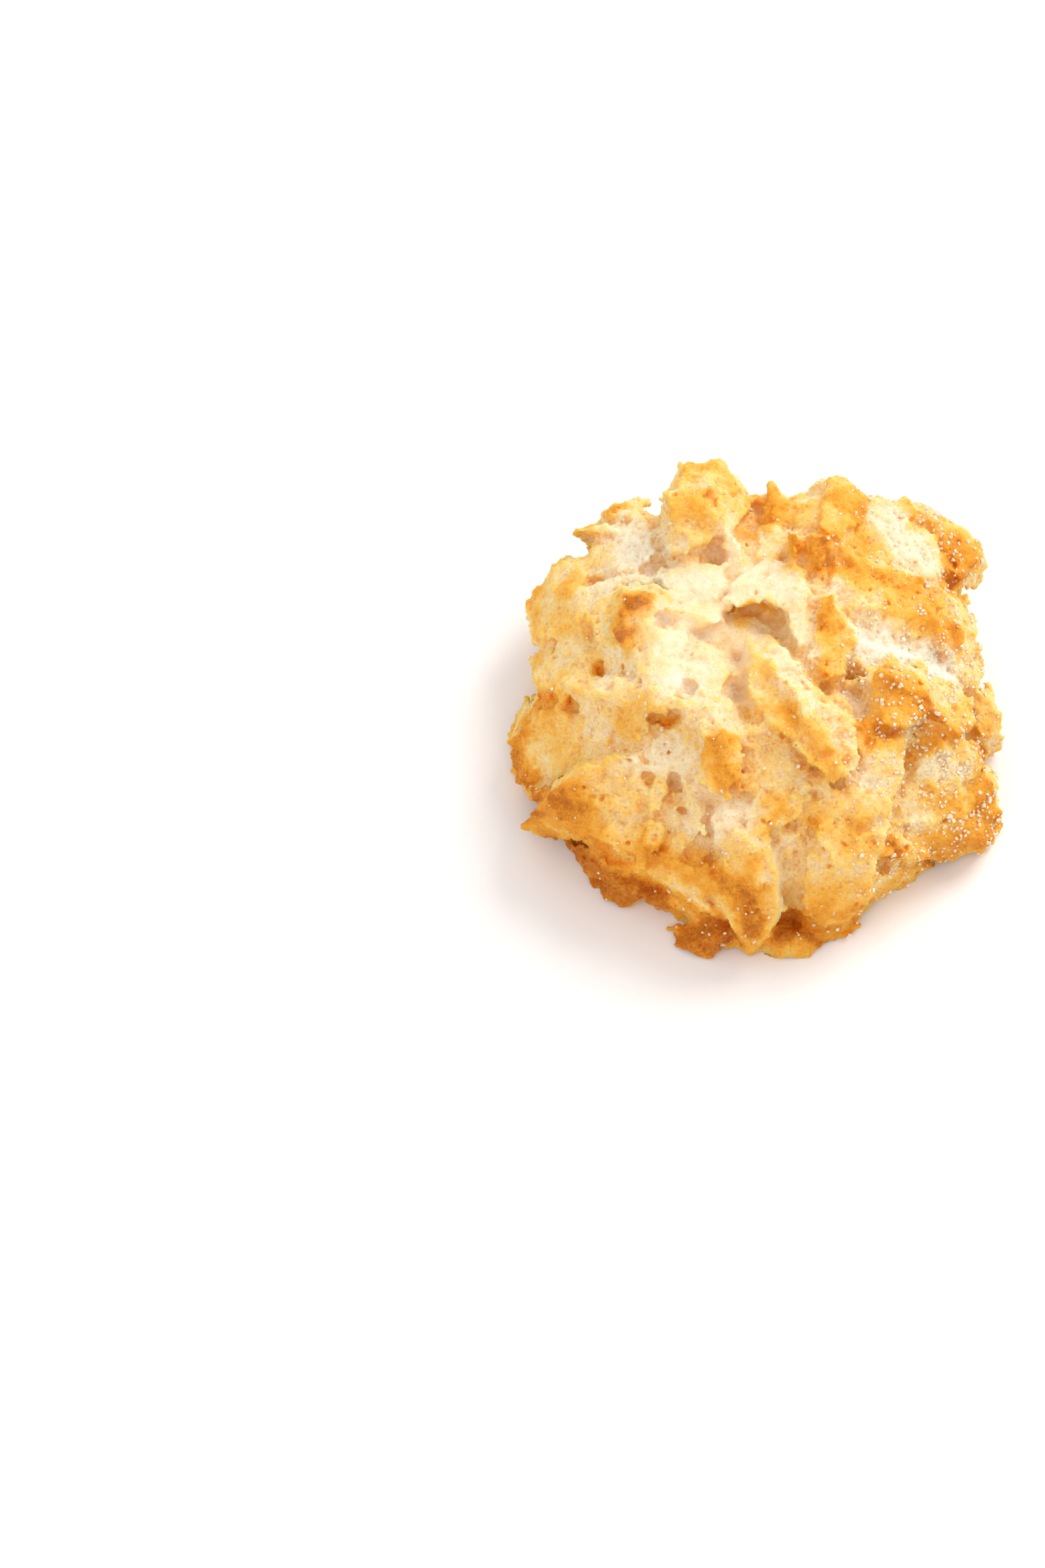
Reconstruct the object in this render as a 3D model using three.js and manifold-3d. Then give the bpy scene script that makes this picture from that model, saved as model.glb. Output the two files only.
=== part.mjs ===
// A baked coconut macaroon: one lump of coconut dough that was dropped on a tray from a star-shaped
// nozzle, so that rough crests and knobs of dough run down its dome from the crown to the rim.
// The biscuit is a single solid with a flat baked base. Millimetres, +Z up, base at z = 0.
import * as THREE from "three";
import { ImprovedNoise } from "three/addons/math/ImprovedNoise.js";
import { mergeVertices } from "three/addons/utils/BufferGeometryUtils.js";
import Module from "manifold-3d";

// The dome that the valleys between the crests lie on: an ellipsoid, cut off flat by the tray.
const DOME_CENTRE = new THREE.Vector3(0, 2.5, 5);
const DOME_RADII = new THREE.Vector3(24.5, 26.5, 18.5);

const CREST_BLEND = 1.5; // how far the dough of two crests runs together where they meet
const DOME_BLEND = 3.6; // how far a crest's foot spreads out onto the dome
const HOLLOW_BLEND = 1.6; // the rounding of a hollow's lip
const LUMP_SIZE = 6.5; // the dough's own unevenness: spacing of its lumps
const LUMP_HEIGHT = 0.55; // and how far they stand out
const CELL = 1.65; // spacing of the grid that the surface is drawn from
const GRID_HALF = 38; // the grid's reach from the middle
const GRID_TOP = 34; // and its height above the tray
const BELOW_TRAY = 6; // and how far it goes under the tray, where the lump is cut off
const CREST_STEPS = 4; // straight stretches in each crest's curve

// Every crest or knob runs over the dome through two or three stations. A station is
// [bearing, climb, lift, thick]: the angle round the biscuit from +X, in degrees; the angle above the
// dome's widest line; how far the crest's middle stands out of the dome; and the crest's radius there.
const CRESTS = [
  // the back rim, from the left round to the right
  [[109, 48, 5.9, 2.8], [111, 57, 4, 3], [111, 64, 1, 2], [107, 72, -0.5, 1.3]],
  [[100, 45, 5.3, 1.8], [101, 51, 3.5, 2]],
  [[125, 57, 5.5, 2.7], [128, 59, 3.1, 2.3]],
  [[84, 50, 4.4, 1.5], [85, 58, 2.2, 1.7]],
  [[82, 60, 1.2, 1.6], [70, 52, 2.3, 2]],
  [[58, 48, 4.9, 3.2], [57, 60, 4, 2.8], [65, 68, 3, 1.7]],
  [[51, 62, 4.1, 1.6], [47, 66, 3.1, 1.6]],
  [[49, 42, 3.9, 2.8], [39, 36, 4.4, 3.2], [34, 26, 5.8, 3], [32, 20, 7.6, 2.2]],
  // the right side
  [[40, 67, 2.7, 1.6], [29, 56, 2.6, 2], [23, 43, 2.7, 2.2], [22, 29, 3.4, 2.4]],
  [[15, 67, 2.1, 1.8], [7, 52, 2.3, 2.8], [6, 33, 2.4, 3.4]],
  [[23, 19, 2.7, 3], [7, 19, 0.3, 3]],
  [[1, 74, 3.3, 1.3], [-19, 73, 3, 2], [-40, 66, 1.7, 1.7]],
  [[77, 66, 1.7, 1.4], [46, 75, 1.2, 1.5], [-8, 82, 0.7, 1.3], [-47, 78, 0.4, 1.2]],
  [[-31, 59, 4.9, 2.1], [-27, 49, 4.8, 2.5], [-25, 36, 4.6, 2.5], [-23, 28, 4.8, 1.9]],
  [[-42, 54, 1.3, 2.2], [-32, 46, 2.3, 2.2]],
  [[-7, 14, 1.7, 2.8], [-11, 5, 2.5, 2.5]],
  [[-34, 31, 1.2, 2.1], [-28, 13, 3.8, 2.6], [-29, -1, 5, 2.8]],
  [[-37, 15, 1.2, 3.3], [-37, 0, 3.2, 2.8]],
  // the front
  [[-89, 78, 2.3, 1.7], [-74, 67, 4.1, 2.4], [-69, 55, 5, 2.8], [-66, 49, 3.9, 2.4]],
  [[-131, 68, 2, 1.4], [-119, 61, 3, 2], [-109, 52, 3, 2.7], [-105, 46, 1.5, 2]],
  [[-112, 39, 0.6, 1.9], [-101, 32, 2.4, 2.5], [-93, 20, 2.5, 2.4], [-93, 8, 4.2, 2.6], [-93, -2, 4.5, 2.8]],
  [[-116, 27, 0.4, 3], [-106, 15, 0.5, 3.4], [-99, 1, 2.3, 3.2]],
  [[-42, 42, 3.1, 1.5], [-56, 37, 3.2, 2.3], [-65, 26, 3.6, 2.8], [-69, 8, 3.3, 3]],
  [[-68, 35, 1.5, 2.8], [-73, 19, 1.2, 2.8], [-74, 3, 2, 2.8]],
  // the left side
  [[169, 75, 0.6, 1.4], [178, 65, 2.4, 2.1], [176, 59, 4.3, 2.5], [-175, 54, 2.6, 1.9]],
  [[149, 17, 5.1, 1.7], [151, 36, 2.1, 1.7], [148, 50, 1.2, 1.7], [138, 52, 1.1, 1.4]],
  [[155, 12, 4.6, 2.3], [159, 25, 2.6, 2.3], [173, 40, 1.7, 1.9]],
  [[157, 11, 3.4, 2.6], [173, 14, 1.5, 2.6]],
  [[-139, 68, 1.4, 1.4], [-150, 56, 2.5, 2.1], [-162, 42, 2.3, 2.3], [-179, 21, 2, 2.3]],
  [[-133, 63, 1.7, 1.4], [-141, 52, 2.4, 1.7], [-141, 43, 2.9, 1.7]],
  [[-141, 43, 2.9, 1.7], [-143, 29, 4.2, 2.1], [-149, 12, 4.7, 2.3], [-152, 0, 5.6, 2.1]],
  [[-139, 16, 3.1, 3.3], [-126, 19, 1.4, 3.8], [-115, 19, -0.3, 3.8]],
  [[-134, 0, 2.3, 3.5], [-121, -3, -0.2, 3.8]],
  [[-174, 0, 1.9, 3.2], [-165, 16, 0, 3.8]],
  [[-166, -3, 3.4, 3], [-161, 3, 0.8, 4]],
  [[137, 17, 5.1, 1.2], [138, 25, 2.8, 2]],
  [[129, 20, 4.9, 1.2], [125, 27, 3.3, 1.8]],
  [[133, 29, 1.4, 2.8], [127, 36, 1.7, 2.8]],
];

// Lobes of the baked foot, which spread low on the tray: [bearing, reach, height, thick].
const FEET = [
  [-105, 29.5, -2, 4.4],
  [-95, 28, -2, 4.4],
  [-84, 29.5, -2, 4.4],
  [-74, 27.5, -2, 4.4],
  [-118, 24.5, -2, 4.4],
  [-130, 27, -2, 4],
  [-141, 25, -2, 4.4],
  [-62, 25, -2, 4.4],
  [-49, 25, -2, 4.4],
  [-166, 25.5, -2, 4.6],
  [-30, 25, 3, 4],
  [-8, 25, 3, 4],
  [15, 24, 3, 4],
  [40, 25, 3, 4],
  [65, 26, 3, 4],
  [90, 27, 3, 4],
  [115, 26, 3, 4],
  [140, 25, 3, 4],
  [165, 24, 3, 4],
];

// Hollows sunk into the dough: [bearing, climb, lift, radius].
const HOLLOWS = [
  // the deep one at the crown
  [126, 84, -1, 2.6],
  [-91, 88, 0, 3],
  // the back
  [151, 69, 1.8, 3.2],
  [140, 73, 1.4, 2.6],
  [94, 58, 2.8, 2],
  [150, 41, 4.2, 1.8],
  // the right side
  [25, 24, 4.7, 1.6],
  [-12, 61, 3.2, 2],
  [-10, 47, 2.8, 2],
  [-52, 55, 3.5, 1.6],
  [-51, 29, 3.5, 1.8],
  // the front
  [-96, 60, 3.5, 2.6],
  [-85, 51, 4, 2.4],
  [-83, 24, 2.4, 2.4],
  [-82, 7, 2, 2.4],
  [-96, 42, 3.3, 2],
  [-75, 39, 3.8, 1.6],
  // the left side
  [-171, 43, 4, 2.2],
  [-171, 44, 1, 1.4],
  [-143, 36, 3.7, 2.6],
  [-123, 45, 4, 3],
];

// A place over the dome, at a height above it.
function overDome(bearing, climb, lift) {
  const turn = THREE.MathUtils.degToRad(bearing);
  const rise = THREE.MathUtils.degToRad(climb);
  const outward = new THREE.Vector3(Math.cos(turn), Math.sin(turn), 0).multiplyScalar(Math.cos(rise));
  outward.z = Math.sin(rise);
  const radii = DOME_RADII.clone().addScalar(lift);
  return outward.multiply(radii).add(DOME_CENTRE);
}

// A crest as tapered stretches: [start, end, radius at start, radius at end].
function stretchesOf(stations) {
  const curve = new THREE.CatmullRomCurve3(stations.map(([b, c, l]) => overDome(b, c, l)));
  const steps = CREST_STEPS * (stations.length - 1);
  const points = curve.getPoints(steps);
  const thick = (i) => {
    const at = (i / steps) * (stations.length - 1);
    const k = Math.min(Math.floor(at), stations.length - 2);
    return THREE.MathUtils.lerp(stations[k][3], stations[k + 1][3], at - k);
  };
  return points.slice(1).map((end, i) => ({ start: points[i], end, from: thick(i), to: thick(i + 1) }));
}

const crests = CRESTS.map(stretchesOf);
const feet = FEET.map(([bearing, reach, height, radius]) => {
  const turn = THREE.MathUtils.degToRad(bearing);
  const centre = new THREE.Vector3(reach * Math.cos(turn), DOME_CENTRE.y + reach * Math.sin(turn), height);
  return { centre, radius };
});
const hollows = HOLLOWS.map(([b, c, l, radius]) => ({ centre: overDome(b, c, l), radius }));

// Distance fields are negative in the dough. Two are joined with a fillet of the given size.
function joined(a, b, size) {
  if (Math.abs(a - b) >= size) return Math.min(a, b);
  const h = 1 - Math.abs(a - b) / size;
  return Math.min(a, b) - (h * h * size) / 4;
}

const scaled = new THREE.Vector3();
function domeField(p) {
  scaled.subVectors(p, DOME_CENTRE).divide(DOME_RADII);
  return (scaled.length() - 1) * Math.min(DOME_RADII.x, DOME_RADII.y, DOME_RADII.z);
}

const along = new THREE.Vector3();
const away = new THREE.Vector3();
function stretchField(p, { start, end, from, to }) {
  along.subVectors(end, start);
  away.subVectors(p, start);
  const t = THREE.MathUtils.clamp(away.dot(along) / along.lengthSq(), 0, 1);
  return away.addScaledVector(along, -t).length() - THREE.MathUtils.lerp(from, to, t);
}

const noise = new ImprovedNoise();
function doughField(p) {
  let ridge = Infinity;
  for (const crest of crests) {
    let nearest = Infinity;
    for (const stretch of crest) nearest = Math.min(nearest, stretchField(p, stretch));
    ridge = joined(ridge, nearest, CREST_BLEND);
  }
  for (const { centre, radius } of feet) ridge = joined(ridge, p.distanceTo(centre) - radius, CREST_BLEND);
  let d = joined(domeField(p), ridge, DOME_BLEND);
  for (const { centre, radius } of hollows) d = -joined(-d, p.distanceTo(centre) - radius, HOLLOW_BLEND);
  return d + LUMP_HEIGHT * noise.noise(p.x / LUMP_SIZE, p.y / LUMP_SIZE, p.z / LUMP_SIZE);
}

// A cell of the grid: a corner's number has a bit for each axis, so an edge joins two corners that
// differ by one bit, and a face's corners are listed in the order that goes round it.
const CORNERS = [0, 1, 2, 3, 4, 5, 6, 7].map((c) => new THREE.Vector3(c & 1, (c >> 1) & 1, (c >> 2) & 1));
const FACES = [[0, 1, 3, 2], [4, 5, 7, 6], [0, 1, 5, 4], [2, 3, 7, 6], [0, 2, 6, 4], [1, 3, 7, 5]];
const edgeNumber = (a, b) => 8 * Math.min(a, b) + Math.max(a, b);

// The sheets of surface that pass through a cell: each is the list of cell edges that it crosses.
function sheetsOf(at) {
  const sheets = [];
  const sheetOf = (edge) => {
    let sheet = sheets.find((s) => s.includes(edge));
    if (!sheet) sheets.push((sheet = [edge]));
    return sheet;
  };
  const link = (one, other) => {
    const keep = sheetOf(one);
    const drop = sheetOf(other);
    if (keep === drop) return;
    keep.push(...drop);
    sheets.splice(sheets.indexOf(drop), 1);
  };
  for (const face of FACES) {
    const edges = face.map((corner, i) => edgeNumber(corner, face[(i + 1) % 4]));
    const crossed = face.map((corner, i) => at[corner] < 0 !== at[face[(i + 1) % 4]] < 0);
    const crossings = edges.filter((_, i) => crossed[i]);
    if (crossings.length === 2) link(...crossings);
    if (crossings.length === 4)
      face.forEach((corner, i) => {
        if (at[corner] < 0) link(edges[i], edges[(i + 3) % 4]);
      });
  }
  return sheets;
}

// The surface where a field is zero, as one closed mesh: each sheet in a grid cell gets a vertex in
// the middle of its crossings, and every crossed grid edge gets two faces between the four round it.
function skinOf(field, box, cell) {
  const size = box.getSize(new THREE.Vector3()).divideScalar(cell).ceil().addScalar(1);
  const [nx, ny, nz] = size.toArray();
  const index = (i, j, k) => i + nx * (j + ny * k);
  const values = new Float32Array(nx * ny * nz);
  const p = new THREE.Vector3();
  for (let k = 0; k < nz; k++)
    for (let j = 0; j < ny; j++)
      for (let i = 0; i < nx; i++) {
        p.set(i, j, k).multiplyScalar(cell).add(box.min);
        values[index(i, j, k)] = field(p);
      }

  const positions = [];
  const vertexOf = new Map();
  for (let k = 0; k < nz - 1; k++)
    for (let j = 0; j < ny - 1; j++)
      for (let i = 0; i < nx - 1; i++) {
        const at = CORNERS.map(({ x, y, z }) => values[index(i + x, j + y, k + z)]);
        if (at.every((v) => v < 0) || at.every((v) => v >= 0)) continue;
        for (const sheet of sheetsOf(at)) {
          const middle = new THREE.Vector3();
          for (const edge of sheet) {
            const [a, b] = [edge >> 3, edge & 7];
            middle.add(p.lerpVectors(CORNERS[a], CORNERS[b], at[a] / (at[a] - at[b])));
            vertexOf.set(64 * index(i, j, k) + edge, positions.length / 3);
          }
          p.set(i, j, k).addScaledVector(middle, 1 / sheet.length).multiplyScalar(cell).add(box.min);
          positions.push(p.x, p.y, p.z);
        }
      }

  const faces = [];
  const steps = [[1, 0, 0], [0, 1, 0], [0, 0, 1]];
  for (let k = 1; k < nz - 1; k++)
    for (let j = 1; j < ny - 1; j++)
      for (let i = 1; i < nx - 1; i++)
        steps.forEach(([x, y, z], axis) => {
          const inside = values[index(i, j, k)] < 0;
          if (inside === values[index(i + x, j + y, k + z)] < 0) return;
          const [uAxis, vAxis] = [(axis + 1) % 3, (axis + 2) % 3];
          const around = [[0, 0], [1, 0], [1, 1], [0, 1]].map(([a, b]) => {
            const back = [0, 1, 2].map((n) => a * steps[uAxis][n] + b * steps[vAxis][n]);
            const corner = (a << uAxis) | (b << vAxis);
            const edge = edgeNumber(corner, corner | (1 << axis));
            return vertexOf.get(64 * index(i - back[0], j - back[1], k - back[2]) + edge);
          });
          if (!inside) around.reverse();
          const [a, b, c, d] = around;
          faces.push(a, b, c, a, c, d);
        });

  const geometry = new THREE.BufferGeometry();
  geometry.setAttribute("position", new THREE.Float32BufferAttribute(positions, 3));
  geometry.setIndex(faces);
  return geometry;
}

const wasm = await Module();
wasm.setup();

// A closed geometry as a solid that can be cut.
function solidOf(geometry) {
  const bare = geometry.clone().deleteAttribute("normal").deleteAttribute("uv");
  const merged = mergeVertices(bare);
  return new wasm.Manifold(
    new wasm.Mesh({
      numProp: 3,
      vertProperties: merged.getAttribute("position").array,
      triVerts: new Uint32Array(merged.index.array),
    }),
  );
}

function geometryOf(solid) {
  const { vertProperties, triVerts } = solid.getMesh();
  const geometry = new THREE.BufferGeometry();
  geometry.setAttribute("position", new THREE.Float32BufferAttribute(vertProperties, 3));
  geometry.setIndex(Array.from(triVerts));
  return geometry;
}

// The lump of dough, cut off flat where it lay on the tray.
function macaroonGeometry() {
  const box = new THREE.Box3(
    new THREE.Vector3(-GRID_HALF, -GRID_HALF, -BELOW_TRAY),
    new THREE.Vector3(GRID_HALF, GRID_HALF, GRID_TOP),
  );
  const lump = solidOf(skinOf((p) => Math.max(doughField(p), -p.z - BELOW_TRAY / 2), box, CELL));
  const tray = new THREE.BoxGeometry(3 * GRID_HALF, 3 * GRID_HALF, GRID_TOP).translate(0, 0, -GRID_TOP / 2);
  const geometry = geometryOf(lump.subtract(solidOf(tray)));
  geometry.computeBoundingBox();
  const middle = geometry.boundingBox.getCenter(new THREE.Vector3());
  geometry.translate(-middle.x, -middle.y, 0);
  geometry.computeVertexNormals();
  return geometry;
}

const crust = new THREE.MeshStandardMaterial({ color: 0xf0cf90, roughness: 0.75, metalness: 0 });
const macaroon = new THREE.Mesh(macaroonGeometry(), crust);
macaroon.name = "macaroon";

const group = new THREE.Group();
group.add(macaroon);
export default group;
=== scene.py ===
import math
import random

import bmesh
import bpy
import numpy as np
from mathutils import Euler, Matrix, Vector, noise
from mathutils.bvhtree import BVHTree
from mathutils.kdtree import KDTree


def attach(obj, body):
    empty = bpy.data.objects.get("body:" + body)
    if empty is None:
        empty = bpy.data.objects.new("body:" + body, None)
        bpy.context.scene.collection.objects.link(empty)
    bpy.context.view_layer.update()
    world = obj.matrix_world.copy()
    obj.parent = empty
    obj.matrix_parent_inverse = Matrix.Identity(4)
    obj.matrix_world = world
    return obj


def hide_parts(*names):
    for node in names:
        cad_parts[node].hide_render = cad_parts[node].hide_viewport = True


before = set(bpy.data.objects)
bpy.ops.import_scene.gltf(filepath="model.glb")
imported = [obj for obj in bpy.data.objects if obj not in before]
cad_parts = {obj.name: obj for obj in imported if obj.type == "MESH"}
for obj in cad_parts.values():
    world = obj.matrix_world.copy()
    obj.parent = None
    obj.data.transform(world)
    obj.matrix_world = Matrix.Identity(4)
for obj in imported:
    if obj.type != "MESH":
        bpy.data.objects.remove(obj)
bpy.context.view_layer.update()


# ---- The table, the light and the camera ----
# The macaroon lies on a plain white table under a wide, bright window light from behind on the
# right. The camera looks down on it from the front.

MM = 0.001
TABLE_WIDTH = 3.0
VIEW_HEIGHT_ANGLE = math.radians(58)
VIEW_DISTANCE = 527 * MM
VIEW_LENS = 100
AIM = Vector((-27.8, -6.4, 0)) * MM
ROOM_COLOUR = (1.0, 0.975, 0.965, 1)
ROOM_STRENGTH = 0.955

scene = bpy.context.scene
bm = bmesh.new()
bmesh.ops.create_grid(bm, x_segments=1, y_segments=1, size=TABLE_WIDTH / 2)
table_mesh = bpy.data.meshes.new("table_top")
bm.to_mesh(table_mesh)
bm.free()
table_top = bpy.data.objects.new("table_top", table_mesh)
scene.collection.objects.link(table_top)

white_lacquer = bpy.data.materials.new("white_lacquer")
white_lacquer.use_nodes = True
lacquer = white_lacquer.node_tree.nodes["Principled BSDF"]
lacquer.inputs["Base Color"].default_value = (0.86, 0.85, 0.845, 1)
lacquer.inputs["Roughness"].default_value = 0.6
table_mesh.materials.append(white_lacquer)

camera_data = bpy.data.cameras.new("camera")
camera_data.lens = VIEW_LENS
camera_data.sensor_width = 36
camera_data.clip_start = 10 * MM
camera_data.clip_end = 20
camera = bpy.data.objects.new("camera", camera_data)
scene.collection.objects.link(camera)
looking = Vector((0, math.cos(VIEW_HEIGHT_ANGLE), -math.sin(VIEW_HEIGHT_ANGLE)))
camera.location = AIM - looking * VIEW_DISTANCE
camera.rotation_euler = (math.pi / 2 - VIEW_HEIGHT_ANGLE, 0, 0)
scene.camera = camera

scene.view_settings.view_transform = "Standard"
scene.view_settings.look = "None"

room = bpy.data.worlds.new("room")
room.use_nodes = True
daylight = room.node_tree.nodes["Background"]
daylight.inputs["Color"].default_value = ROOM_COLOUR
daylight.inputs["Strength"].default_value = ROOM_STRENGTH
scene.world = room


def window(name, place, size, power, colour):
    """A soft round light at that place, size in metres, power in watts, which faces the macaroon."""
    light = bpy.data.lights.new(name, "AREA")
    light.shape = "DISK"
    light.size = size
    light.energy = power
    light.color = colour
    lamp = bpy.data.objects.new(name, light)
    lamp.location = place
    lamp.rotation_euler = (-Vector(place)).to_track_quat("-Z", "Y").to_euler()
    scene.collection.objects.link(lamp)


window("back_window", (0.40, 0.36, 0.58), size=0.45, power=4.0, colour=(1.0, 0.985, 0.96))
window("front_reflector", (-0.3, -0.5, 0.5), size=0.7, power=1.1, colour=(1.0, 0.98, 0.95))


# ---- The lump of dough ----
# The macaroon is one lump of stiff coconut dough, dropped on a tray and baked. Its crests and knobs
# are its crust, and between them the dough has torn open into pale, crumbly hollows.

HEART = Vector((0, 1, 5)) * MM
# The skin is drawn anew three times, each time on a finer net.
DOME_NET = 0.6 * MM
LUMP_NET = 0.36 * MM
CRUMB_NET = 0.26 * MM
TRIANGLES = 380_000

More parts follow.
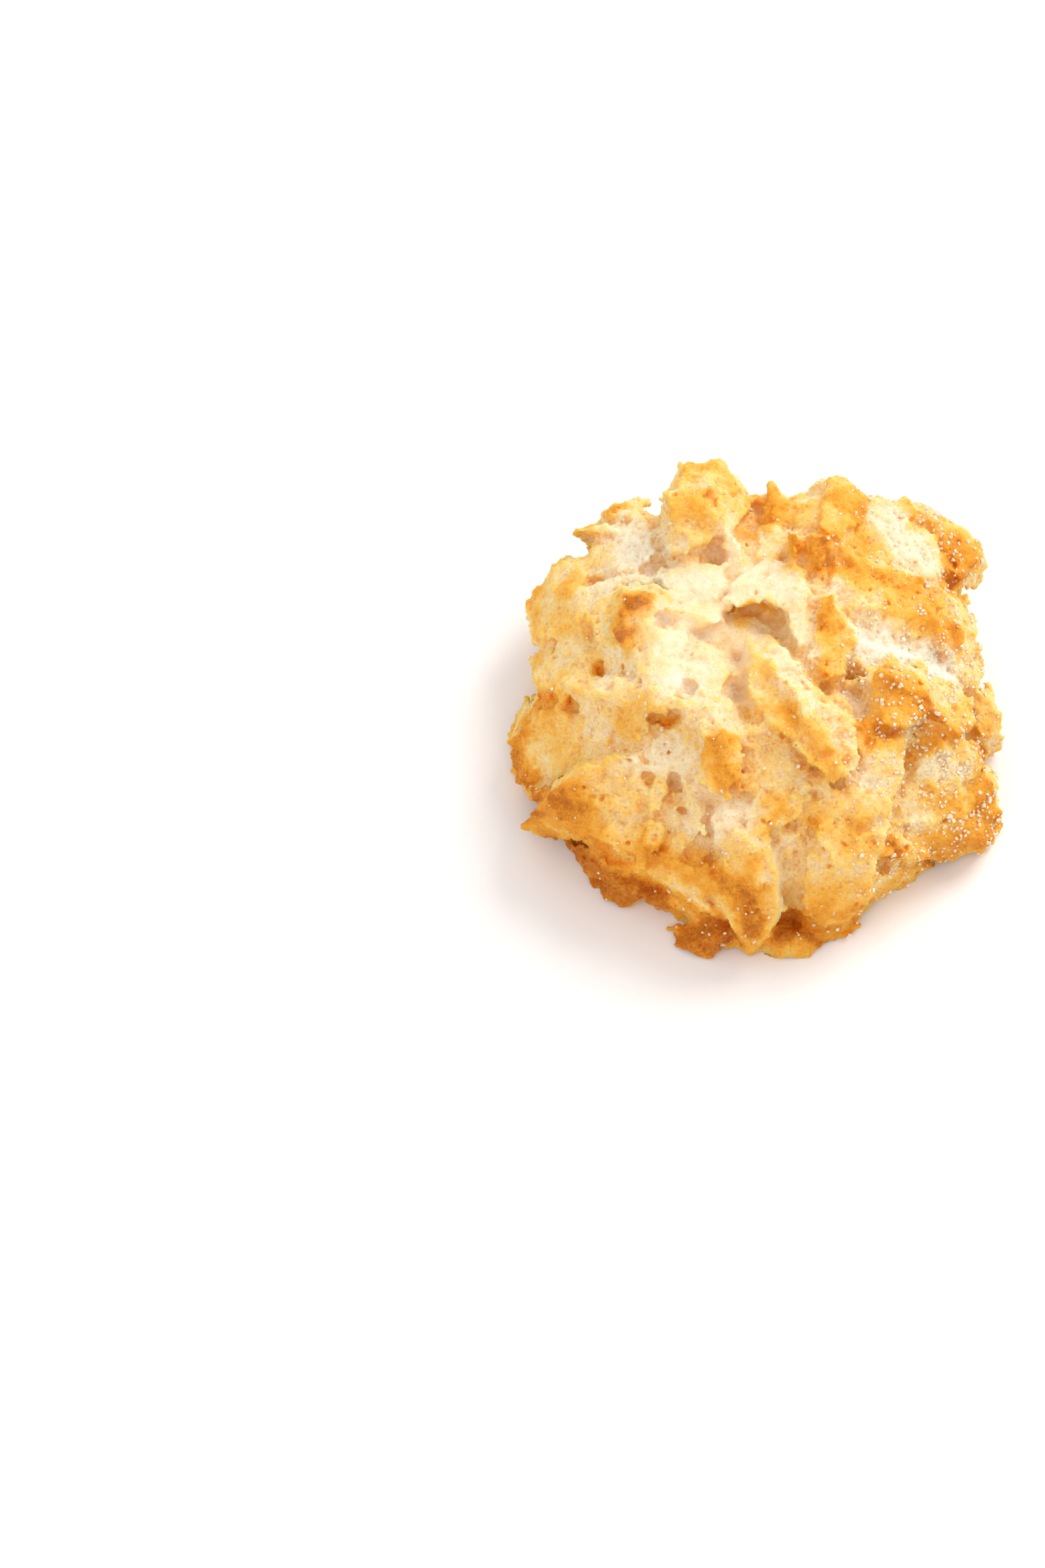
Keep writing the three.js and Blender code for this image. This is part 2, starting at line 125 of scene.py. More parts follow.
# Corners of the crusty lumps, and of the floors between them, in millimetres.
LUMPS = {
    "back_mound": [(-10.5, 17.5, 26.5), (-9.5, 22, 24), (-8, 23.5, 25), (-4.5, 24, 25), (-2.5, 23, 23),
        (-1.5, 21.5, 22.5), (-5.5, 17.5, 27.5), (-8, 20, 24.5)],
    "brown_mound": [(-11.5, 19, 20), (-10.5, 17, 26.5), (-8.5, 20, 24), (-6.5, 17, 27.5), (-5, 14.5, 27),
        (-4.5, 12.5, 26), (-6, 11, 25), (-8.5, 10, 25), (-10.5, 11, 23.5), (-11.5, 16, 20)],
    "back_ridge": [(-4.5, 17, 27), (-2, 20.5, 22.5), (1, 21, 22), (0, 21, 17), (-3, 12, 26),
        (-4, 12.5, 26)],
    "ridge_stem": [(-4, 13, 26.5), (-2.5, 13, 25.5), (-2, 10, 24.5), (0, 7.5, 24), (-2, 6.5, 23),
        (-4, 9, 24)],
    "cavity_roof": [(-3.5, 6, 24.5), (-2, 7, 25), (0, 6.5, 25.5), (2, 4.5, 26), (1.5, 3, 26),
        (0.5, 3.5, 25), (-1, 3.5, 25), (-2.5, 2.5, 24.5), (-3.5, 3.5, 24.5)],
    "roof_bridge": [(-2.5, 8.5, 24.5), (1, 10, 25), (3, 9.5, 25.5), (4.5, 4.5, 26.5), (4, 0.5, 26),
        (2, 3, 25.5), (0, 4.5, 25.5), (-2.5, 5.5, 25)],
    "mound_spike_floor": [(-3, 21.5, 19), (-0.5, 23, 18.5), (1.5, 19.5, 21.5), (1.5, 15, 23),
        (-1.5, 14.5, 22.5), (-3, 16, 22)],
    "left_nose": [(-21.5, 20, 16), (-20, 22, 14.5), (-18, 21, 16), (-16, 19, 18), (-16.5, 17.5, 17),
        (-19, 20, 14), (-20, 21, 13.5)],
    "upper_nose": [(-18, 23, 15.5), (-17, 24.5, 15), (-15, 24.5, 16), (-13.5, 24, 16), (-14, 20, 18.5),
        (-17, 21.5, 16)],
    "left_slab": [(-16, 19, 17.5), (-13.5, 20.5, 18.5), (-11.5, 17.5, 19.5), (-12, 12, 22.5),
        (-14.5, 10, 21.5), (-18, 16, 14.5), (-19, 18.5, 15.5)],
    "left_slab_foot": [(-19.5, 19.5, 15), (-18, 20, 15.5), (-15.5, 11, 21), (-18, 11.5, 18.5),
        (-20, 13, 16.5), (-20.5, 15.5, 16)],
    "ledge": [(-24.5, 17, 13), (-23.5, 17.5, 13.5), (-21.5, 15, 16.5), (-20, 12, 18), (-21.5, 10.5, 17.5),
        (-24.5, 13, 14.5), (-25.5, 15, 12)],
    "golden_plate": [(-26.5, 15, 11), (-25.5, 14.5, 13), (-22.5, 11, 17), (-19.5, 9, 18.5), (-20, 4.5, 20),
        (-22, 4.5, 16), (-25.5, 6, 13), (-27, 9, 10), (-27.5, 13.5, 9.5)],
    "plate_fill": [(-21, 9, 18), (-17.5, 7.5, 19), (-17.5, 1, 20), (-18.5, 0, 18), (-21, -2, 17.5),
        (-24, 2.5, 14.5), (-24, 7, 14)],
    "plate_shelf": [(-22.5, 0, 16.5), (-19, -5, 21), (-15, -7, 24), (-15, -9, 23), (-20.5, -7, 19.5),
        (-23, -4, 18)],
    "plate_ridge": [(-21.5, 10.5, 17.5), (-18.5, 10.5, 19), (-14.5, 10, 21.5), (-12, 9.5, 22),
        (-12.5, 7.5, 21.5), (-16.5, 8, 19.5), (-20, 8, 18.5)],
    "golden_plate_foot": [(-26.5, 5.5, 10), (-24.5, 5, 13), (-22.5, -0.5, 16.5), (-20.5, -5, 19.5),
        (-22.5, -4.5, 17), (-26, -1, 13), (-27, 3, 10)],
    "middle_mound": [(-17, 4, 23.5), (-16, 5, 24.5), (-14, 4.5, 25.5), (-12.5, 3.5, 26), (-12, 1.5, 26),
        (-13, -1, 26.5), (-15, -3.5, 24.5), (-16.5, -2, 24), (-17.5, 1, 23)],
    "mound_skirt": [(-15.5, -2, 24.5), (-12, -0.5, 26), (-8.5, -0.5, 25), (-7.5, -3.5, 24), (-9.5, -9, 25),
        (-14, -8.5, 24.5), (-15.5, -5, 23)],
    "pale_edge": [(-12, 2, 26), (-10, 1, 26), (-8, 1, 25.5), (-6, 3, 25), (-4, 3, 24.5), (-4.5, 0.5, 24.5),
        (-8.5, -1, 24)],
    "crumb_floor": [(-11.5, 10, 22.5), (-8.5, 10.5, 23.5), (-4.5, 9, 24.5), (-3.5, 6, 24), (-4.5, 4, 24),
        (-8, 4, 23.5), (-10.5, 4.5, 23.5), (-11.5, 7, 23)],
    "rim_right": [(-7, -2.5, 25), (-4.5, -3.5, 24.5), (-3.5, -6.5, 24.5), (-4.5, -9.5, 24.5),
        (-7.5, -10, 25), (-8.5, -6.5, 25)],
    "shelf": [(-19, -7, 21.5), (-15.5, -8, 23.5), (-10.5, -9.5, 25), (-8, -11.5, 25), (-10, -11, 23.5),
        (-12.5, -11.5, 23.5), (-16, -10, 20), (-19, -8.5, 18), (-21.5, -6.5, 17), (-22.5, -4.5, 16.5)],
    "shelf_lip": [(-19.5, -8, 18), (-15.5, -10, 21.5), (-12.5, -12, 22.5), (-14, -14.5, 21.5),
        (-16.5, -11, 18), (-19, -9, 17)],
    "shelf_right": [(-10, -10.5, 24.5), (-7, -9.5, 25.5), (-3.5, -10.5, 25), (-2.5, -12, 24),
        (-5, -13.5, 25), (-8, -13, 24), (-9.5, -12, 23.5)],
    "knob": [(-6.5, -15.5, 25.5), (-5, -15, 26), (-3, -15.5, 25.5), (-2, -18, 24), (-3, -20.5, 22.5),
        (-4.5, -21.5, 21.5), (-6.5, -20.5, 21.5), (-8.5, -18.5, 20.5), (-7.5, -16.5, 23)],
    "knob_neck": [(-8, -12, 24.5), (-3, -12.5, 24.5), (-3, -16, 25), (-7, -16, 24.5)],
    "left_of_knob": [(-14, -11.5, 21), (-11, -11.5, 21.5), (-8.5, -13, 21.5), (-8.5, -16.5, 19.5),
        (-10.5, -17, 19), (-14, -16, 18), (-15.5, -14, 18.5)],
    "wedge_plate_top": [(-1, -3, 25.5), (1.5, -3, 26), (4.5, -7, 26.5), (6.5, -11, 26.5), (4, -16, 25.5),
        (1, -14.5, 25.5), (-1, -12, 25), (-2, -7, 25.5)],
    "wedge_plate_end": [(4, -6.5, 26.5), (8, -11, 26), (11, -13, 24.5), (11, -15.5, 24), (10, -19.5, 22.5),
        (7.5, -20.5, 22.5), (4.5, -18, 24.5), (1, -14, 25.5)],
    "wedge_wall": [(8, -8.5, 23.5), (9, -8.5, 23.5), (10.5, -10, 23), (11, -11.5, 22.5), (9, -10.5, 22.5)],
    "right_wall": [(2.5, 8, 26), (5, 7.5, 26.5), (6, 4.5, 26.5), (5.5, -1.5, 26.5), (5, -5.5, 25.5),
        (3.5, -2.5, 26), (3.5, 1, 26)],
    "nose_wedge": [(8.5, 2.5, 27.5), (7, 1.5, 27.5), (6.5, -2.5, 27.5), (5.5, -5.5, 26), (7.5, -7.5, 25),
        (10, -6.5, 24.5), (11.5, -1.5, 25), (9.5, 1.5, 26.5)],
    "spike": [(0.5, 17.5, 22.5), (1.5, 21.5, 23), (2.5, 22, 23.5), (3.5, 21, 23), (4, 17.5, 23.5),
        (2, 15, 24), (0.5, 17, 21.5)],
    "spike_foot": [(-2, 14.5, 23), (0, 17, 21.5), (2.5, 15, 24.5), (3.5, 13, 25), (3, 11, 25),
        (1, 10.5, 23.5), (-1.5, 9.5, 24)],
    "saddle": [(3.5, 20.5, 22.5), (7, 20, 23.5), (7, 14.5, 26.5), (4.5, 14, 25), (3, 16, 24)],
    "right_knob": [(7, 20, 23), (8.5, 21, 24.5), (10.5, 21.5, 25), (12, 21, 24.5), (13.5, 19.5, 24),
        (13.5, 16, 24.5), (10, 11, 27.5), (7, 12, 28), (7, 16, 25.5)],
    "right_knob_foot": [(9.5, 11.5, 27.5), (13.5, 16, 23.5), (15.5, 15.5, 21.5), (14, 13.5, 20),
        (10.5, 8.5, 26), (8.5, 9, 26.5)],
    "nose_left": [(3.5, 12, 26), (4.5, 11.5, 27), (4.5, 9.5, 27), (4, 7.5, 26), (3.5, 8, 25.5)],
    "nose_right": [(6, 11, 27.5), (8, 10.5, 28), (8.5, 9, 27), (7.5, 7, 26.5), (6, 7, 26.5),
        (5.5, 9, 26.5)],
    "cream_bridge": [(5, 9, 25.5), (9.5, 9, 25.5), (9.5, 5, 25.5), (9, 3, 25), (7, 3.5, 24.5),
        (5.5, 4.5, 25.5)],
    "long_ridge": [(10.5, 9.5, 26.5), (13.5, 14.5, 20.5), (16, 9, 24), (21, 9, 21), (23.5, 9.5, 18.5),
        (22.5, 7, 19), (18.5, 6.5, 22.5), (12.5, 6, 25.5), (10.5, 7.5, 26)],
    "long_slope": [(8.5, 6.5, 26), (12.5, 5.5, 25.5), (18.5, 6, 23.5), (22, 5, 21.5), (20.5, 2.5, 22),
        (15, 2, 24), (9.5, 3, 25.5)],
    "tan_slope": [(9.5, 2, 25), (11.5, 3, 25.5), (18, 3, 23.5), (22, 3, 21), (24, 1.5, 18), (20.5, 0, 19),
        (15.5, 0.5, 22), (12, 0.5, 23.5)],
    "white_floor": [(11.5, 0.5, 23), (15.5, 0.5, 21.5), (20.5, 0, 19), (24, 0, 15.5), (23.5, -3, 15.5),
        (21, -3, 19), (15.5, -3, 23), (11.5, -3.5, 23)],
    "kj_gap_floor": [(1, -23.5, 17), (5, -23.5, 16.5), (6, -26.5, 10.5), (5.5, -27, 3.5), (1.5, -27, 4),
        (1, -26.5, 11)],
    "knob_slab_floor": [(-2, -13.5, 24.5), (0.5, -13.5, 24.5), (3.5, -16.5, 23), (6, -19, 21), (3, -21, 20),
        (-3, -20.5, 20.5), (-4, -18, 22)],
    "knob_foot_floor": [(-9, -19, 19), (-6.5, -19, 20), (-3.5, -20, 20), (-2.5, -21, 19.5),
        (-4.5, -22, 17.5), (-8, -21.5, 17)],
    "m_gap_floor": [(-21.5, -6.5, 16.5), (-17, -10, 19.5), (-12.5, -13.5, 21), (-12.5, -15.5, 19.5),
        (-16, -14.5, 17), (-20.5, -12.5, 14.5), (-22, -9.5, 14.5)],
    "mound_left_floor": [(-20.5, 7.5, 18.5), (-19, 9.5, 19), (-16.5, 9, 21.5), (-16.5, 6, 22.5),
        (-17.5, 2.5, 22.5), (-17.5, -2, 21.5), (-19.5, 1.5, 20.5)],
    "ledge_gap_floor": [(10.5, -12, 23.5), (14.5, -11, 22.5), (19, -11, 19.5), (19, -12.5, 18),
        (15, -14.5, 20), (11.5, -15.5, 21.5), (10, -14, 23)],
    "side_gap_floor": [(23.5, -0.5, 16), (26, 2, 11), (27, 0, 9), (25, -5, 14), (22.5, -5, 17.5)],
    "slope_pit_floor": [(12.5, 13.5, 23.5), (15.5, 15.5, 22), (16.5, 11.5, 23), (14, 8.5, 24.5),
        (12, 9, 25.5)],
    "ridge_pit_floor": [(9, 8.5, 26), (12, 9, 25), (13, 6.5, 25.5), (11, 4.5, 26), (8.5, 5.5, 26)],
    "tip_floor": [(4, -19.5, 21), (7, -19, 21), (10, -20.5, 19.5), (8, -24, 16.5), (4, -23, 17.5)],
    "hole_floor": [(-19.5, 0.5, 19.5), (-17, -0.5, 21.5), (-16, -3.5, 22), (-17.5, -5, 20.5),
        (-19.5, -3, 19)],
    "cavity_floor": [(-4.5, 4.5, 22.5), (-2, 3.5, 22), (1, 3.5, 21.5), (4, 2.5, 22), (4.5, -2, 22.5),
        (1.5, -3, 23), (-2.5, -2, 22.5), (-4.5, 1, 22.5)],
    "sugar_slope": [(13, 16, 23.5), (17, 17.5, 22), (21.5, 16.5, 20.5), (24, 14.5, 17), (22.5, 10.5, 19.5),
        (16, 10, 23), (13.5, 15, 21)],
    "porous_end": [(19, 20.5, 20.5), (21.5, 20, 20), (25, 19.5, 17.5), (28, 18, 15.5), (28.5, 17, 14),
        (27.5, 15.5, 13), (24.5, 11.5, 17), (23.5, 14, 17), (23, 17, 19.5)],
    "back_edge": [(13.5, 19.5, 23.5), (16, 19.5, 21.5), (18.5, 20, 22), (20, 18.5, 21), (15.5, 16.5, 22),
        (13.5, 16.5, 23.5)],
    "side_bulge": [(20.5, 5, 22), (24.5, 9.5, 17.5), (27, 9, 12.5), (27.5, 5, 12), (26.5, 3.5, 11.5),
        (23.5, 0, 17.5), (21.5, 0.5, 20.5)],
    "side_bulge_low": [(22.5, 0, 18), (26.5, 4.5, 11.5), (27.5, 1.5, 12.5), (26.5, -1, 12.5),
        (24, -1, 13.5), (22.5, -1, 16)],
    "brown_ledge": [(12.5, -6, 24.5), (15, -5, 25), (18, -6.5, 24.5), (20, -8.5, 23), (19.5, -11, 22.5),
        (17, -13, 22.5), (14, -13, 23.5), (12, -11.5, 22.5), (12, -9, 22.5), (12, -6.5, 23)],
    "ledge_bridge": [(19, -6, 23.5), (23, -3.5, 18.5), (24, -7, 18.5), (21, -11.5, 21), (18.5, -11.5, 23)],
    "sugar_lump": [(19.5, -9, 23), (23, -5.5, 19.5), (25.5, -5, 17), (26, -8, 16.5), (23.5, -12, 18.5),
        (22, -12.5, 20), (20, -11.5, 22)],
    "far_right": [(26.5, -1.5, 12.5), (28.5, -1, 11), (29.5, -3, 9.5), (30, -4.5, 7.5), (30, -3.5, 3),
        (28, -6, 5), (26.5, -6, 10)],
    "front_ridge_top": [(10.5, -14.5, 21), (13.5, -13.5, 22.5), (17, -12.5, 21), (17, -14.5, 20),
        (16, -18, 19), (15, -21, 18), (12, -23.5, 18), (8, -21.5, 19), (9, -19.5, 19.5), (10, -17, 20.5)],
    "front_ridge_mid": [(6.5, -22, 18.5), (8, -20.5, 19.5), (15, -19.5, 18.5), (14.5, -23.5, 16.5),
        (13, -26.5, 14), (8, -27, 15), (6, -23.5, 17.5)],
    "front_ridge_foot": [(5, -25.5, 15), (5.5, -24, 16), (14, -23.5, 16), (13, -26.5, 14), (13, -27.5, 9.5),
        (12.5, -26.5, 2.5), (10, -28, 2), (7.5, -29, 4.5), (5, -28, 7.5), (5, -27, 12)],
    "right_lobe": [(17.5, -13, 18), (19.5, -11, 19.5), (22.5, -11, 18.5), (26, -11, 14.5), (27, -12.5, 12),
        (22.5, -16.5, 13.5), (18.5, -15.5, 16.5)],
    "right_lobe_mid": [(17.5, -14.5, 17), (23.5, -14.5, 15), (24.5, -17.5, 11), (24, -19.5, 7),
        (17, -22.5, 10), (15.5, -19.5, 15)],
    "right_lobe_rim": [(23.5, -13, 15), (28, -5.5, 2), (28.5, -12, 8.5), (29, -14.5, 5.5), (29.5, -15, 4.5),
        (27.5, -18, 4), (24.5, -19, 6), (22.5, -17, 12.5)],
    "right_lobe_foot": [(16, -20.5, 14), (20.5, -19, 13), (25.5, -17.5, 8.5), (28, -16, 1),
        (23.5, -19, 2.5), (19.5, -21.5, 7.5), (16, -23, 9.5)],
    "right_foot": [(14, -21, 7), (21, -17.5, 1), (21.5, -18.5, 0.5), (17.5, -21.5, 0.5), (14, -24, 1),
        (12.5, -27, 12)],
    "front_crest": [(-3.5, -24.5, 18.5), (0.5, -24.5, 18), (1.5, -27.5, 15.5), (2, -30, 10),
        (0.5, -31.5, 5), (-1, -31, 0.5), (-3, -31, 5.5), (-4.5, -29.5, 10.5), (-5, -26.5, 14.5)],
    "crest_head": [(-6, -21.5, 18.5), (-2.5, -20.5, 19.5), (0.5, -22.5, 19), (1, -25, 17.5),
        (-2, -26.5, 16.5), (-5.5, -25, 16)],
    "crest_lobe": [(-2, -20, 19.5), (0.5, -19.5, 21), (3.5, -19, 21.5), (5.5, -19.5, 20.5),
        (5.5, -21, 19.5), (4, -23, 18.5), (1.5, -24, 18), (-0.5, -24.5, 18), (-2.5, -23, 18.5)],
    "left_crest": [(-14.5, -14.5, 19.5), (-17.5, -14, 18.5), (-21, -15, 16.5), (-24.5, -16, 13.5),
        (-26, -16, 10.5), (-24, -17.5, 6.5), (-20.5, -20.5, 10), (-15, -20.5, 15.5), (-13.5, -17.5, 17.5)],
    "crest_slope": [(-15, -14.5, 18), (-11, -16, 17), (-9, -19.5, 17.5), (-7.5, -23.5, 15.5),
        (-11, -25, 11.5), (-16.5, -23, 11.5), (-19, -22, 12.5)],
    "low_flake": [(-13.5, -21.5, 16), (-11.5, -22, 16.5), (-12, -24, 14.5), (-13.5, -25.5, 11.5),
        (-15, -24.5, 11), (-14.5, -23, 14)],
    "strand": [(-9.5, -17.5, 19.5), (-8, -18, 20), (-7, -21.5, 19), (-7, -23.5, 17), (-8.5, -23, 17),
        (-9, -20.5, 18)],
    "strand_left": [(-12, -16.5, 19), (-10.5, -17, 19), (-11, -19, 18), (-12, -20.5, 17),
        (-13.5, -21, 16.5), (-13.5, -18.5, 17.5)],
    "right_flake": [(13.5, -24, 14.5), (15, -22, 14.5), (17, -22, 13), (20, -22, 9.5), (19, -23, 9.5),
        (16, -24, 11.5), (14, -24.5, 13)],
    "knob_left_floor": [(-10.5, -12, 22), (-7.5, -12.5, 23.5), (-6.5, -15.5, 22.5), (-6.5, -17.5, 20.5),
        (-9, -18, 19), (-10.5, -16, 19)],
    "left_tip": [(-26, -16, 9.5), (-27, -14.5, 6.5), (-27.5, -15, 4), (-25.5, -16, 4.5),
        (-23.5, -15.5, 1.5), (-23.5, -17.5, 10.5)],
    "left_lobe": [(-26.5, 0.5, 8), (-28.5, 0, 5.5), (-29.5, -3.5, 5.5), (-29, -7, 5), (-26.5, -11, 6),
        (-24, -12.5, 10.5), (-21, -12.5, 14), (-20.5, -9.5, 15), (-22, -6.5, 15), (-23.5, -4, 15)],
    "left_face_foot": [(-22, -17, 1), (-18.5, -22, 8), (-14, -23.5, 8), (-13.5, -24.5, 4), (-16, -24, 3.5),
        (-19, -22.5, 4)],
    "front_face_foot": [(-12, -24.5, 12.5), (-6.5, -26, 13.5), (-5, -28, 10), (-6.5, -28, 9), (-11, -25, 6),
        (-13, -24.5, 8)],
    "base_left": [(-29, -8, 4), (-27.5, -8, 0.5), (-26, -15.5, 10), (-25.5, -14.5, 11.5), (-27.5, -9, 5.5)],
    "base_knob_left": [(-18.5, -23, 0.5), (-18, -23, 3.5), (-16.5, -24, 6.5), (-14, -24.5, 5.5),
        (-13.5, -23.5, 1), (-15.5, -24.5, 0.5), (-17.5, -23.5, 0.5)],
    "base_strip": [(-13.5, -24.5, 3), (-11, -25, 5.5), (-7, -28, 8.5), (-4.5, -29.5, 6.5), (-7, -27.5, 2.5),
        (-10, -25.5, 1), (-12.5, -24, 0.5)],
    "base_knob_front": [(-9.5, -29, 1), (-7.5, -28.5, 2), (-6, -28.5, 4), (-4, -30.5, 5), (-3.5, -30, 1.5),
        (-6, -31, 0.5), (-8.5, -30.5, 0.5)],
    "base_ledge_front": [(0.5, -31, 3.5), (2, -28, 4), (5, -27.5, 3.5), (8, -28, 2.5), (9, -28.5, 1),
        (7.5, -30, 0.5), (6, -31, 0.5), (2.5, -31, 0.5)],
    "base_ledge_right": [(9, -28, 1.5), (11.5, -26.5, 1), (13, -25.5, 0.5), (13, -27, 0.5),
        (10, -28.5, 0.5)],
}

# Each lump goes down to a root in the dough, wider than its top by ROOT_FLARE at each corner. The
# overhanging ones are narrower there, so that their edges stand over the hollows.
LUMP_ROOT = Vector((0, 1.9, -3.0)) * MM
LOWEST_ROOT = 0.4 * MM
ROOT_FLARE = 1.6 * MM
ROOT_TAPER = -0.8 * MM
OVERHANGING = {
    "knob", "wedge_plate_end", "shelf_lip", "cavity_roof", "sugar_lump", "left_tip", "spike",
}
# From RIM_START millimetres off the middle the roots spread outwards less, and after RIM_WIDTH more
# they don't.
RIM_START = 15
RIM_WIDTH = 8

# Random lumps, where none of the lumps above has a corner nearby.
RANDOM_LUMPS = 60
CLEAR_OF_LUMPS = 3.5 * MM
CLEAR_OF_TRAY = 2 * MM

# Hollows between the lumps: points on the way, width and depth, in millimetres.
HOLLOWS = [
    ([(-2.5, 4.5, 21), (-0.5, 5, 21), (1.5, 2, 21.5), (2, 0, 21.5)], 3.0, 2.4),
    ([(-19, 0, 17), (-16, -2.5, 20)], 2.0, 1.4),
    ([(-22.5, -10, 10), (-19.5, -8.5, 13.5), (-16, -12.5, 18)], 3.0, 1.0),
    ([(3.5, -23, 13.5), (3.5, -25.5, 10.5), (3.5, -26.5, 3.5)], 3.0, 1.6),
    ([(-2, -15, 21), (2, -14, 20.5), (5, -16.5, 19), (6.5, -19, 18)], 2.6, 1.0),
    ([(16.5, -16.5, 13), (15.5, -19, 9.5), (15, -21, 6)], 2.2, 1.0),
    ([(18, -12, 18.5), (11.5, -12.5, 20), (10, -11.5, 21)], 2.0, 1.0),
]
SHRINK = 0.8 * MM

# What the skin stands out or lies in, at most so far in millimetres, is made more by SHARPEN. Then the
# whole skin is taken in by TRIM.
MOST_OUT = 0.9
MOST_IN = 0.6
SHARPEN = 1.3
TRIM = 0.55

# Holes and cracks, pressed in from the front and above after the lumps rose, and crests that are drawn
# out the other way where the depth is below 0: points on the way, width and depth, in millimetres.
HOLES_AND_CRESTS = [
    ([(-2, 2.5, 24), (-1, 2.5, 25.5), (0.5, 3, 24)], 1.2, 1.6),
    ([(-18.5, -3, 19.5), (-18, -1, 18), (-17.5, 0.5, 15)], 1.5, 2.8),
    ([(-12, -10.5, 21.5), (-10, -11, 22)], 0.9, 1.5),
    ([(5.5, -20.5, 20), (8, -18.5, 17)], 0.8, 1.3),
    ([(4.5, -7.5, 25.5), (6.5, -9.5, 25.5), (7.5, -11, 25.5), (9, -12, 25)], 0.8, 1.0),
    ([(10.5, -15.5, 23.5), (13.5, -12.5, 22), (17, -12.5, 20.5)], 0.9, 1.0),
    ([(17.5, -13, 17.5), (16.5, -17.5, 15.5), (14.5, -23, 17)], 1.2, 0.9),
    ([(0.5, -11.5, 19.5), (3.5, -14, 20.5), (6, -15, 17)], 0.9, 0.8),
    ([(-7.5, -18, 16.5), (-4.5, -20.5, 19), (-2, -19.5, 19.5)], 1.0, 0.4),
    ([(-13, -24.5, 3.5), (-8.5, -27, 6), (-4.5, -29, 4.5)], 1.0, 1.2),
    ([(-18, -22.5, 4), (-19, -21.5, 0.5)], 0.8, 1.0),
    ([(-26, -15, 10.5), (-25.5, -15, 11)], 0.7, 0.8),
    ([(23.5, 14, 18), (24, 13.5, 17.5)], 0.8, 2.2),
    ([(24.5, 17, 17.5), (25, 17.5, 17.5)], 0.7, 2.0),
    ([(23, 17.5, 19), (23.5, 17.5, 19)], 0.6, 1.6),
    ([(25.5, 14, 16), (26.5, 14.5, 15.5)], 0.5, 0.8),
    ([(23.5, 4, 18.5), (24, 3, 18)], 0.8, 1.0),
    ([(24, -17, 12.5), (24, -17.5, 12)], 0.5, 1.5),
    ([(-20, 15, 16), (-19, 13, 18)], 0.7, 0.8),
    ([(-11.5, 8.5, 23), (-10.5, 10.5, 22), (-8.5, 10, 24.5), (-6.5, 11, 24)], 1.0, 0.8),
    ([(-2.5, 10, 24.5), (-2, 9, 24), (-1, 9, 24)], 0.9, 0.6),
    ([(-8.5, -4, 24.5), (-6.5, -5.5, 25)], 1.6, 0.35),
    ([(-8, -18.5, 16.5), (-7, -21, 16.5)], 1.1, 0.9),
    ([(-11, -19, 17), (-10, -21, 16.5)], 1.1, 0.9),
    ([(2.5, -29, 7), (4.5, -27.5, 2.5)], 1.1, 1.2),
    ([(0.5, -5.5, 26), (3, -11, 27), (6, -16.5, 28), (8.5, -18.5, 23)], 1.6, -0.9),
    ([(-13.5, 4, 25.5), (-15.5, 3, 25), (-16.5, -0.5, 24.5)], 1.5, -0.9),
    ([(-10.5, 16, 26), (-8, 16, 27), (-5.5, 14, 27)], 2.0, -0.8),
    ([(4, 11, 27), (4, 8, 26)], 1.1, -0.8),
    ([(7, 10.5, 27.5), (7, 7.5, 26.5)], 1.3, -0.8),
    ([(10.5, 17, 25.5), (12, 17, 25), (12, 14.5, 26)], 1.8, -0.6),
    ([(10.5, 8, 26.5), (15, 8.5, 24.5), (21, 10, 19.5), (24, 8.5, 18)], 1.5, -0.9),
    ([(8, 2, 27.5), (7.5, -2, 27.5), (7.5, -6, 25.5)], 1.5, -0.9),
    ([(13.5, -6.5, 26), (16.5, -8, 25), (20, -10, 23), (21, -11, 19.5)], 1.8, -0.8),
    ([(-21, -6, 18.5), (-17.5, -8.5, 22), (-12.5, -9.5, 24.5), (-9, -10.5, 25)], 1.8, -0.7),
    ([(-5, -13.5, 25), (-5, -17.5, 24.5), (-4, -20.5, 22.5)], 1.8, -0.7),
    ([(15.5, -14, 21), (12, -18.5, 20.5), (7.5, -22.5, 18), (6, -25.5, 15.5)], 1.6, -0.8),
    ([(11, -23.5, 16.5), (9.5, -27, 12), (9.5, -28.5, 6.5)], 2.0, -0.7),
    ([(-3.5, -24, 18.5), (-1.5, -26.5, 16), (-0.5, -29.5, 11.5), (-1, -31, 4.5)], 1.7, -0.9),
    ([(5, -20.5, 20.5), (1.5, -22, 19.5), (-0.5, -24.5, 18.5)], 1.5, -0.8),
    ([(-17.5, -15, 19), (-21, -15.5, 16), (-25, -16.5, 12), (-26.5, -15.5, 7)], 1.6, -0.8),
    ([(22.5, -12, 19.5), (26, -12.5, 13.5), (27.5, -14.5, 8), (26.5, -17.5, 6)], 1.6, -0.6),
    ([(-21, 10, 18), (-17, 9, 20), (-13, 9, 21.5)], 1.3, -0.6),
    ([(-12, 5.5, 24.5), (-13, -0.5, 26.5), (-14, -4.5, 25)], 1.6, 0.7),
    ([(-1.5, -4.5, 24), (-0.5, -10.5, 25), (1.5, -13.5, 22.5)], 1.3, 0.35),
    ([(12, -2, 23.5), (17, -3, 22), (22.5, -3.5, 18.5)], 1.8, 0.6),
    ([(-20, -6.5, 13.5), (-14, -12.5, 21.5), (-9, -13, 21.5)], 1.4, 0.5),
    ([(-21, -11.5, 14.5), (-24, -13, 11.5), (-26.5, -14.5, 10)], 1.1, 0.6),
]
PRESSED = np.array((0, 0.53, -0.85))

